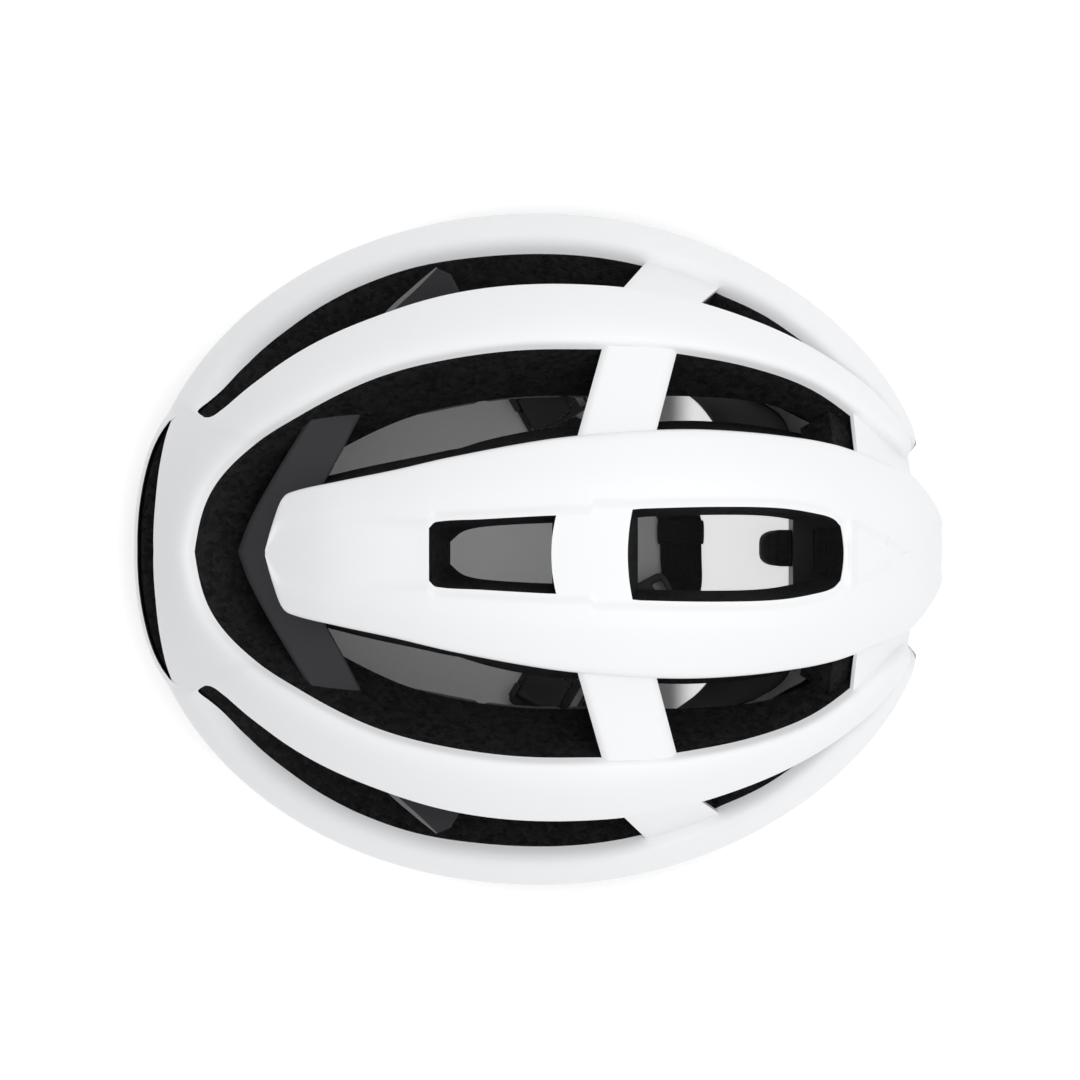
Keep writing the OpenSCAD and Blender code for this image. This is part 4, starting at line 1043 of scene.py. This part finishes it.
def nape_cushion():
    """Small pad on the cradle's inner face: a rounded oblong, crowned towards the head."""
    lo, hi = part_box("nape_pad")
    count = 41
    x = np.linspace(lo.x, hi.x, count)[:, None] / MM
    z = np.linspace(lo.z, hi.z, count)[None] / MM
    place = np.linspace(-1, 1, count)
    edge = (1 - place ** 4) ** 0.5
    crown = edge[:, None] * edge[None]
    back = net(x, hi.y / MM, z)
    front = back.copy()
    front[..., 1] += (lo.y - hi.y) / MM * (0.35 + 0.65 * crown)
    cushion("nape_cushion", back, front, "cradle", "nape_pad")


nape_cushion()


# Studio
# The helmet stands on a pale floor under broad soft lights, seen from straight above with a long lens.
# None of this belongs to the helmet.

def studio_floor():
    """Flat floor. To the camera and in reflections it gets brighter away from the helmet, by the distance
    from its outline as an ellipse, and a painted pool of light brightens it under the rear openings, where it
    lies in the helmet's shade. So it is white there and still holds the shadow."""
    size = 3
    mesh = bpy.data.meshes.new("floor")
    corners = [(-size, -size, 0), (size, -size, 0), (size, size, 0), (-size, size, 0)]
    mesh.from_pydata(corners, [], [(0, 1, 2, 3)])
    made = placed("floor", mesh)
    finish, tree, principled = shader("pale_floor", Base_Color=(0.84, 0.84, 0.845), Roughness=0.9,
                                      Emission_Color=(1, 1, 1))
    place = add(tree, "ShaderNodeTexCoord").outputs["Object"]
    squeeze = add(tree, "ShaderNodeVectorMath", operation="MULTIPLY", Vector=place)
    squeeze.inputs[1].default_value = (1 / (half_width * MM), 1 / (half_length * MM), 0)
    length = add(tree, "ShaderNodeVectorMath", operation="LENGTH", Vector=squeeze.outputs["Vector"])
    reach = length.outputs["Value"]
    axes = add(tree, "ShaderNodeSeparateXYZ", Vector=place)
    glow = ramp(tree, reach, 0.72, 1.15, 0, 0.4, "SMOOTHSTEP")
    # Painted pool of light: the floor glows under the rear openings, inside the helmet's outline, where it
    # lies in shade.
    behind = ramp(tree, axes.outputs["Y"], 0.043, 0.053, 0, 0.66, "SMOOTHSTEP")
    within = ramp(tree, reach, 0.63, 0.69, 1, 0, "SMOOTHSTEP")
    lit = worked(tree, "MULTIPLY_ADD", behind, within, glow)
    path = add(tree, "ShaderNodeLightPath")
    rays = path.outputs["Is Camera Ray"]
    for kind in ("Is Glossy Ray", "Is Transmission Ray"):
        rays = worked(tree, "MAXIMUM", rays, path.outputs[kind])
    settle(principled, Emission_Strength=worked(tree, "MULTIPLY", lit, rays))
    mesh.materials.append(finish)


def aim(made, target):
    """Turns an object so that it looks at a point, with its upper side towards -X where it looks down."""
    back = unit(np.array(made.location) - np.array(target))
    right = unit(np.cross([-1, 0, 0], back))
    turn = Matrix(np.stack([right, np.cross(back, right), back], 1).tolist())
    made.rotation_mode = "QUATERNION"
    made.rotation_quaternion = turn.to_quaternion()


def area_light(name, place, target, size, watts):
    """Round soft lamp of a width, aimed at a point."""
    lamp = bpy.data.lights.new(name, "AREA")
    lamp.shape = "DISK"
    lamp.size = size
    lamp.energy = watts
    made = placed(name, lamp)
    made.location = place
    aim(made, target)


studio_floor()
area_light("overhead", (-0.05, 0.47, 1.45), (0, 0, 0.1), 1.3, 8.3)
area_light("far_side", (-1.1, 0.25, 0.85), (0, 0, 0.06), 0.9, 2.8)
area_light("near_side", (1.1, 0.25, 0.85), (0, 0, 0.06), 0.9, 3)
world = bpy.data.worlds.new("soft_room")
bpy.context.scene.world = world
world.use_nodes = True
settle(world.node_tree.nodes["Background"], Color=(1, 1, 1), Strength=0.64)

camera_data = bpy.data.cameras.new("camera")
camera_data.sensor_width = 36
camera_data.lens = 158
camera = placed("camera", camera_data)
camera.location = (-0.025, 0, 1.6)
aim(camera, (-0.003, 0, 0.045))
bpy.context.scene.camera = camera
bpy.context.scene.view_settings.view_transform = "Standard"
